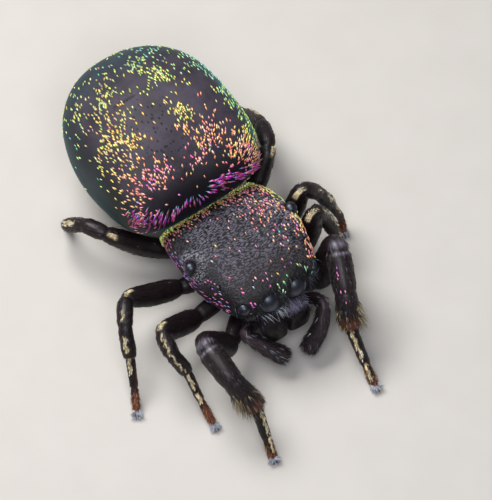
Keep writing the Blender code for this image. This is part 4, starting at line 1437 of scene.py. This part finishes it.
# Right of the notch they hang over the edge, left of it they fan outward
right_side = place[:, :1] < NOTCH[0]
lean = np.where(right_side, (-0.1, 0.3, -0.8), (0.2, 0.0, 0.1))
ways = along_skin(unit(place - NOTCH) + lean + rng.normal(0, 0.12, place.shape), normal)
ways = unit(ways + 0.35 * normal)
warmer = place[:, 0] > FRINGE_CORNER
tip = FRINGE_TIPS[np.clip(rng.integers(0, 5, len(place)) + warmer, 0, 5)]
root = FRINGE_ROOTS[rng.integers(0, 3, len(place))]
share = blend(0.12, 0.60, LEAF[:, 0])[None, :, None]
tint = root[:, None] * (1 - share) + tip[:, None] * share
tint = tint * rng.uniform(0.25, 1.15, (len(place), 1, 1))
tint = tint * np.where(right_side, 0.75, 1.1)[..., None]
scales = scale_points(place, normal, ways, rng, FRINGE_SIZE, FRINGE_LIFT)
coat_piece("abdomen_fringe", scales, LEAF_FACES, tint, (u, v), SCALE)

# %% [markdown]
# ## Scales on the carapace
# Here they crowd along the rear edge and the left edge, thin out over the rear corners, and
# leave the middle nearly bare. Green and gold lead behind, pink and violet follow toward the
# face, and teal and blue ones stand round the left large eye.

# %% Carapace scales
# Left and forward place in parts, their spreads, and scales on 100 square parts
CARAPACE_PATCHES = (((48, -52), (26, 22), 4.5), ((44, -8), (22, 36), 2.6),
                    ((-54, -58), (18, 16), 3.0))
# No scale is rooted nearer to an eye's middle than this many of its radii
EYE_CLEARANCE = 1.35
CARAPACE_SCALE_SIZE = (5.4, 2.4)


def carapace_edge(place):
    """How near each place is to the plate's side edge, from 0 to 1. The left band is wider."""
    stations = CARAPACE_STATIONS["forward"]
    width = smooth_curve(stations, CARAPACE_STATIONS["half_width"],
                         np.clip(place[..., 1], stations[0], stations[-1]))
    start = np.where(place[..., 0] > 0, 0.77, 0.84)
    return blend(start, start + 0.14, np.abs(place[..., 0]) / width)


def carapace_density(place, normal, v, u):
    """The sum of the rear slope, the rear corners, the side edges, the left half and the face."""
    left, forward, up = (place[..., k] for k in range(3))
    edge = carapace_edge(place) * blend(70, 100, up) * blend(98, 80, forward)
    rear = 2.0 * blend(-58, -70, forward) + 7.0 * blend(-40, -60, forward)
    corners = sum(thick * spot(left, forward, middle, size)
                  for middle, size, thick in CARAPACE_PATCHES)
    sides = np.where(left > 0, 6.5, 1.3) * edge
    half = 0.9 * blend(15, 50, left) * blend(90, 50, forward)
    face = 1.1 * blend(66, 90, forward) * blend(118, 130, up) * blend(52, 40, np.abs(left))
    return (rear + corners + sides + half + face + 0.2) * blend(62, 68, up)


v, u, place, normal, _, rng = scatter(carapace_form, carapace_density, seed=7, spacing=3.1)
for centre, radius in EYES.values():
    clear = np.linalg.norm(place - centre, axis=1) > radius * EYE_CLEARANCE
    v, u, place, normal = (x[clear] for x in (v, u, place, normal))
left, forward = place[:, 0], place[:, 1]
margin = blend(-62, -78, forward)
# On the rear margin they stand up from the slope and face the sky
normal = unit(normal + margin[:, None] * (0.0, 1.0, 1.6))
ways = along_skin(np.array([0.0, -1.0, 0.0]) + rng.normal(0, 0.16, place.shape), normal)
hue = 3.6 - 1.1 * blend(-52, -64, forward) - 1.6 * margin + 0.5 * blend(60, 95, forward)
hue = hue - 1.6 * blend(62, 76, left) * blend(60, 0, forward) * (1 - margin)
hue = hue + 0.3 * blend(-20, -70, left) * blend(-60, -20, forward)
# Teal and blue ones stand round the left large eye
hue = hue - 3.4 * blend(80, 90, forward) * blend(-12, 0, left)
# Painted light: on the rear margin, in the abdomen's shade, the scales are up to nearly four times
# brighter. Painted shade: on the right flank they are half as bright.
flank = blend(-60, -74, left)
tint = leaf_tints(rng, hue + 0.1 * flank) * (1 + 2.8 * margin - 0.5 * flank)[:, None, None]
size = (CARAPACE_SCALE_SIZE[0], CARAPACE_SCALE_SIZE[1] + 1.3 * margin)
scales = scale_points(place, normal, ways, rng, size, SCALE_LIFT)
coat_piece("carapace_scales", scales, LEAF_FACES, tint, (u, v), SCALE)

# %% [markdown]
# ## Hair on the face
# Fine dark hairs, a few of them bluish, stand round the four front eyes and on the brow under
# them. Longer pale ones stand in two groups on the lower edge of the face. All are thin tubes,
# bent forward and down.

# %% Face hair
FACE_HAIR = linear(["#1c1a1d", "#2b2a2f", "#3c4250", "#1a181a", "#6a7182"])
LIP_HAIR = linear(["#d3dbe4", "#9aa3b0", "#f2f5f9"])
# Shortest and longest hair, and its radius at the root
FACE_LENGTH, FACE_RADIUS = (5, 10), 0.36
LIP_LENGTH, LIP_RADIUS = (12, 19), 0.5
LIP_DROOP = np.array([[0.0, 0.0, -0.45]])


def brow_density(place, normal, v, u):
    """A band under the eyes and a ring round each front eye, whichever is denser."""
    forward, up = place[..., 1], place[..., 2]
    total = bump(up - 104, 9) * blend(80, 94, forward)
    for centre, radius in (EYES[name] for name in EYES if "front" in name):
        gap = np.linalg.norm(place - centre, axis=-1)
        total = np.maximum(total, 0.8 * bump(gap - radius * 1.25, radius * 0.22))
    return total * blend(70, 84, forward)


def hair_tints(shades, rng, count):
    """One shade for each hair, a little lighter or darker."""
    shade = shades[rng.integers(0, len(shades), count)] * rng.uniform(0.6, 1.2, (count, 1))
    return np.repeat(shade[:, None], HAIR_POINTS, axis=1)


v, u, place, normal, _, rng = scatter(carapace_form, brow_density, seed=8, count=260,
                                      spacing=1.2, cells=(300, 300))
count = len(place)
ways = unit(normal * 0.55 + np.array([0.0, 0.5, -0.25]) + rng.normal(0, 0.22, place.shape))
droops = np.array([0.0, 0.1, -0.45]) + rng.normal(0, 0.12, place.shape)
lengths = rng.uniform(*FACE_LENGTH, count)
coat_piece("face_hair", hairs(place, ways, lengths, FACE_RADIUS, droops), HAIR_FACES,
           hair_tints(FACE_HAIR, rng, count), (u, v), BRISTLE)

# Pale hairs in two groups on the lower edge of the face: middle, how many, fan, and spread
LIP_GROUPS = (((-34.0, 98.0, 98.0), 8, 0.12, 9.0), ((-12.0, 104.0, 99.0), 18, 0.6, 5.0))
for number, (middle, many, fan, wide) in enumerate(LIP_GROUPS, 1):
    def lip_density(place, normal, v, u):
        """A bell round the group's middle."""
        return bump(np.linalg.norm(place - np.array(middle), axis=-1), wide) + 1e-12

    v, u, place, normal, _, rng = scatter(carapace_form, lip_density, seed=9 + number,
                                          count=many, spacing=1.5, cells=(300, 300))
    count = len(place)
    ways = unit(np.array([0.4, 1.0, 0.1]) + rng.uniform(-fan, fan, (count, 1)) * (1.0, 0.0, 0.3))
    lengths = rng.uniform(*LIP_LENGTH, count)
    coat_piece("lip_hair_%d" % number, hairs(place, ways, lengths, LIP_RADIUS, LIP_DROOP),
               HAIR_FACES, hair_tints(LIP_HAIR, rng, count), (u, v), BRISTLE)

# %% [markdown]
# ## Hair on jaws and palps
# The jaws carry short hairs on their upper half, with lilac ones among the dark on the left jaw.
# The palps are furred all over with short stiff bristles that lean toward the tip and fan out
# round it, a few of them white.

# %% Jaw and palp hair
LILAC = linear(["#bdb6d0", "#9690ae", "#dcd8e8"])
SOOT = linear(["#140e0f", "#1e1516", "#2a1f20"])
ICE = linear(["#a9bccd", "#d5dde6", "#8b9bb0"])
JAW_HAIR_LENGTH = (5, 9)
PALP_HAIR_LENGTH = (4.5, 8.0)
BRISTLE_RADIUS = 0.34


def two_kinds(shades, others, share, rng, count):
    """Hair colours of one kind, with a share of the other."""
    first, second = (hair_tints(table, rng, count) for table in (shades, others))
    return np.where((rng.random(count) < share)[:, None, None], second, first)


def jaw_density(place, normal, v, u):
    """Denser toward the top of the jaw and on the side that faces forward and up."""
    return blend(0.85, 0.25, v) * blend(-0.2, 0.5, normal[..., 1] + 0.5 * normal[..., 2])


def palp_density(place, normal, v, u):
    """Denser toward the tip of the palp."""
    return 0.25 + blend(0.3, 0.95, v)


for number, (side, form) in enumerate(jaws.items()):
    v, u, place, normal, down, rng = scatter(form, jaw_density, seed=20 + number, count=240,
                                             spacing=1.0)
    count = len(place)
    ways = unit(down * 0.8 + normal * 0.35 + rng.normal(0, 0.2, place.shape))
    pale = blend(0.42, 0.25, v) * LILAC_SHARE[side]
    lengths = rng.uniform(*JAW_HAIR_LENGTH, count)
    coat_piece("chelicera_%s_hair" % side,
               hairs(place, ways, lengths, BRISTLE_RADIUS, normal * 0.1), HAIR_FACES,
               two_kinds(SOOT, LILAC, pale, rng, count), (u, v), BRISTLE)

for number, (side, limb) in enumerate(palps.items()):
    v, u, place, normal, down, rng = scatter(limb.form, palp_density, seed=30 + number,
                                             count=1000, spacing=1.0)
    count = len(place)
    ways = unit(down + normal * (0.12 + 0.22 * v[:, None]) + rng.normal(0, 0.10, place.shape))
    above = blend(-0.2, 0.8, normal[:, 2])
    pale = 0.02 + above * (0.35 * bump(v - limb.split + 0.05, 0.10) + 0.08 * blend(0.6, 0.95, v))
    lengths = rng.uniform(*PALP_HAIR_LENGTH, count)
    coat_piece("palp_%s_hair" % side,
               hairs(place, ways, lengths, BRISTLE_RADIUS, normal * 0.05), HAIR_FACES,
               two_kinds(SOOT, ICE, pale, rng, count), (u, v), BRISTLE)

# %% [markdown]
# ## Hair and scales on the legs
# Fine dark hair covers every leg and lies toward the foot, with grey among it on top and behind
# the front knees. The front tibiae carry a brush of longer bristles all round their far end,
# strongest on the outer side, and half of them straw coloured. The toes have amber fuzz. Cream
# scales fill the light patches, a few bright loose ones lie on the left front leg, and a soft
# pale tuft hides the two small claws of each foot.

# %% Leg hair
# How many hairs stand on a leg of each pair
LEG_HAIR = {1: 2300, 2: 1300, 3: 1300, 4: 1300}
LEG_HAIR_LENGTH = (4, 7.5)
LEG_HAIR_RADIUS = 0.28
STRAW = linear(["#b49d6a", "#e2cd9c", "#8c7850"])
ASH = linear(["#5d5762", "#827b88", "#4a454f"])
AMBER = linear(["#a46b3e", "#6b4128", "#c79a6a"])


def leg_hair_density(limb):
    """Sparse on coxa and femur, dense from the patella on, densest on the toes."""
    def density(place, normal, v, u):
        at = limb.number(v)
        return blend(0.6, 1.4, at) * (0.35 + 0.65 * blend(1.5, 2.5, at) + 1.2 * blend(5.1, 5.3, at))
    return density


for number, ((side, pair), limb) in enumerate(limbs.items()):
    v, u, place, normal, down, rng = scatter(limb.form, leg_hair_density(limb),
                                             seed=40 + number, count=LEG_HAIR[pair], spacing=1.1)
    # Roots near the floor go, earlier on the underside, so that no hair reaches through it
    high = place[:, 2] > 2.5 + 4.5 * blend(0.1, -0.5, normal[:, 2])
    v, u, place, normal, down = (x[high] for x in (v, u, place, normal, down))
    count = len(place)
    at = limb.number(v)
    outer = np.cos(2 * math.pi * u) * (1 if side == "left" else -1)
    brush = (pair == 1) * blend(TIBIA + 0.15, TIBIA + 0.45, at) * blend(4.02, 3.95, at) \
        * (0.35 + 0.65 * blend(-0.3, 0.5, outer))
    toes = blend(5.0, 5.3, at)
    ways = unit(down + normal * (0.10 + 0.85 * brush + 0.35 * toes)[:, None]
                + rng.normal(0, 0.10, place.shape))
    lengths = rng.uniform(*LEG_HAIR_LENGTH, count) * (1 + 1.5 * brush)
    lengths = lengths * np.where(at > METATARSUS, 0.75, 1.0)
    knee = bump(at - KNEE_CREASE + 0.14, 0.12) if pair == 1 else 0.0
    above = blend(0.2, 0.9, normal[:, 2]) * blend(4.1, 3.9, at)
    grey = 0.03 + 0.3 * knee + (0.09 if pair == 1 else 0.05) * above
    tint = two_kinds(SOOT, ASH, grey, rng, count)
    for shades, share in ((STRAW, 0.50 * brush), (AMBER, 0.75 * toes)):
        chosen = rng.random(count) < share
        tint = np.where(chosen[:, None, None], hair_tints(shades, rng, count), tint)
    coat_piece("leg_%s_%d_hair" % (side, pair),
               hairs(place, ways, lengths, LEG_HAIR_RADIUS, -normal * 0.08), HAIR_FACES, tint,
               (u, v), BRISTLE)

# %% Leg scales
CREAM = linear(["#fff1cf", "#f4dfae", "#e6cd98", "#fff9ea"])
CREAM_SIZE = (3.8, 1.3)
CREAM_LIFT = 0.8
CREAM_DENSITY = 20.0

for number, ((side, pair), limb) in enumerate(limbs.items()):
    patches = leg_patches(side, pair)

    def in_patches(place, normal, v, u):
        """Dense inside the patches, none outside."""
        return CREAM_DENSITY * patch_mask(limb, patches, v, u)

    v, u, place, normal, down, rng = scatter(limb.form, in_patches, seed=60 + number,
                                             spacing=1.4, cells=(300, 60))
    ways = along_skin(down + rng.normal(0, 0.2, place.shape), normal)
    bright = 1.1 if pair == 1 else 0.9
    shade = CREAM[rng.integers(0, 4, len(place))]
    shade = shade * rng.uniform(0.5 * bright, bright, (len(place), 1))
    scales = scale_points(place, normal, ways, rng, CREAM_SIZE, CREAM_LIFT)
    coat_piece("leg_%s_%d_scales" % (side, pair), scales, LEAF_FACES,
               np.repeat(shade[:, None], len(LEAF), axis=1), (u, v), BRISTLE)

# A few loose bright scales lie along the inner side of the left front leg
limb = limbs["left", 1]
LOOSE_SIZE = (5.0, 2.2)
LOOSE_HUES = (3.4, 4.8)


def loose_density(place, normal, v, u):
    """A thin line of them along patella and tibia, on top toward the inner side."""
    at = limb.number(v)
    return 1.8 * bump(360 * u - 146, 14) * blend(2.2, 2.4, at) * blend(3.3, 3.1, at)


v, u, place, normal, down, rng = scatter(limb.form, loose_density, seed=70, spacing=3.0,
                                         cells=(300, 60))
scales = scale_points(place, normal, along_skin(down, normal), rng, LOOSE_SIZE, CREAM_LIFT)
tint = leaf_tints(rng, rng.uniform(*LOOSE_HUES, len(place)))
coat_piece("leg_left_1_loose_scales", scales, LEAF_FACES, tint, (u, v), SCALE)

# %% Claw tufts and claws
TUFT_HAIRS = 170
TUFT_LENGTH, TUFT_RADIUS = (5, 9), 0.4
CLAW_LENGTH = 7.0
# A claw goes up by the first share times (t - t squared) and down by the second times t squared
CLAW_ARCH = (6.4, 2.4)
CLAW_SHAPE = ((0, 0.5, 1), (1.25, 0.9, 0.15))
CLAW_TONE = linear("#1c1413")
FROST = linear(["#eef3fa", "#c3cddd", "#d9e2f0", "#8f8178"])

for number, ((side, pair), limb) in enumerate(limbs.items()):
    rng = np.random.default_rng(80 + number)
    end = limb.path[-1]
    ahead = unit(limb.tangent[-1] * (1, 1, 0))
    beside = np.array([-ahead[1], ahead[0], 0.0])
    spread = rng.uniform(-1, 1, (TUFT_HAIRS, 2))
    size = LEG_RADII[pair][4]
    roots = end + ahead * rng.uniform(-6, 2, (TUFT_HAIRS, 1)) + beside * spread[:, :1] * size * 0.7
    roots[:, 2] = 2.2 + rng.uniform(0, 1, TUFT_HAIRS) * size * 1.6
    ways = unit(ahead + beside * spread[:, :1] * 1.1
                + np.array([0, 0, 1.0]) * (spread[:, 1:] * 0.5 + 0.10))
    # No hair is long enough to reach the floor
    reach = (roots[:, 2] - 0.5) / np.maximum(-ways[:, 2], 0.05)
    lengths = np.minimum(rng.uniform(*TUFT_LENGTH, TUFT_HAIRS), reach)
    coat_piece("leg_%s_%d_tuft" % (side, pair),
               hairs(roots, ways, lengths, TUFT_RADIUS, np.zeros((TUFT_HAIRS, 3))), HAIR_FACES,
               hair_tints(FROST, rng, TUFT_HAIRS),
               (0.5 + 0.4 * spread[:, 0], 0.9 + 0.05 * spread[:, 1]), BRISTLE)
    for twin, aside in (("outer", 0.35), ("inner", -0.35)):
        t = np.linspace(0, 1, 16)
        root = end + beside * aside * size
        root[2] = max(end[2], 4.0)
        path = root + np.outer(t, ahead * CLAW_LENGTH)
        path[:, 2] += CLAW_ARCH[0] * (t - t ** 2) - CLAW_ARCH[1] * t ** 2
        claw = Limb(path, np.interp(t, *CLAW_SHAPE), floor=0.0)
        limb_piece("leg_%s_%d_claw_%s" % (side, pair, twin), claw, 8, LEG,
                   lambda v, u: CLAW_TONE)
print("8 tufts and 16 claws")

# %% [markdown]
# ## Studio
# A sheet of pale paper is the floor. Light comes from one large soft box above and behind, a
# weaker one above and in front, and an even pale surrounding. Their sizes are in proportion to
# the spider, about six body lengths away, so the shadows are as soft as in a real studio.

# %% Floor and light
FLOOR_SIZE = 0.12
LAMP_AIM = (0, -40, 100)


def floor_paper():
    """Matte uncoated paper, pressed from pulp: pale and even, with a faint cloudiness."""
    material, tree = new_material("floor_paper_matte")
    plain = in_millimetres(tree)
    fibre = add_node(tree, "ShaderNodeTexNoise", Vector=plain, Scale=1.5, Detail=4.0)
    colour = add_node(tree, "ShaderNodeMix", {"data_type": "RGBA"}, in0=fibre.outputs[0],
                      in6=rgba("#bab5ae"), in7=rgba("#c2bdb6"))
    shader = add_node(tree, "ShaderNodeBsdfPrincipled", Base_Color=colour.outputs[2],
                      Roughness=0.9)
    finish(tree, shader)
    return material


half = FLOOR_SIZE / 2
mesh = bpy.data.meshes.new("floor")
mesh.from_pydata([(-half, -half, 0), (half, -half, 0), (half, half, 0), (-half, half, 0)], [],
                 [(0, 1, 2, 3)])
mesh.materials.append(floor_paper())
floor = bpy.data.objects.new("floor", mesh)
bpy.context.scene.collection.objects.link(floor)

world = bpy.data.worlds.new("studio")
bpy.context.scene.world = world
world.use_nodes = True
world.node_tree.nodes["Background"].inputs["Color"].default_value = rgba("#e9edf2")
world.node_tree.nodes["Background"].inputs["Strength"].default_value = 0.2
# Plain tones, without a film's soft shoulder, keep the blacks deep and the scales vivid
bpy.context.scene.view_settings.view_transform = "Standard"


def soft_box(name, place, size, energy, colour="#ffffff"):
    """A round area light at (left, forward, up) in parts that looks at the spider's back."""
    data = bpy.data.lights.new(name, "AREA")
    data.shape = "DISK"
    data.size = size * PART
    data.energy = energy
    data.color = linear(colour)
    light = bpy.data.objects.new(name, data)
    bpy.context.scene.collection.objects.link(light)
    axis = unit(metres(place) - metres(LAMP_AIM))
    side = unit(np.cross((0.0, 0.0, 1.0), axis))
    set_pose(light, (side, np.cross(axis, side), axis), metres(place))


soft_box("key", (-350, -1000, 2350), 1500, 0.0088)
soft_box("fill", (-650, 1150, 2450), 1300, 0.0044, "#f3f6ff")
print("floor, surroundings and two soft boxes")
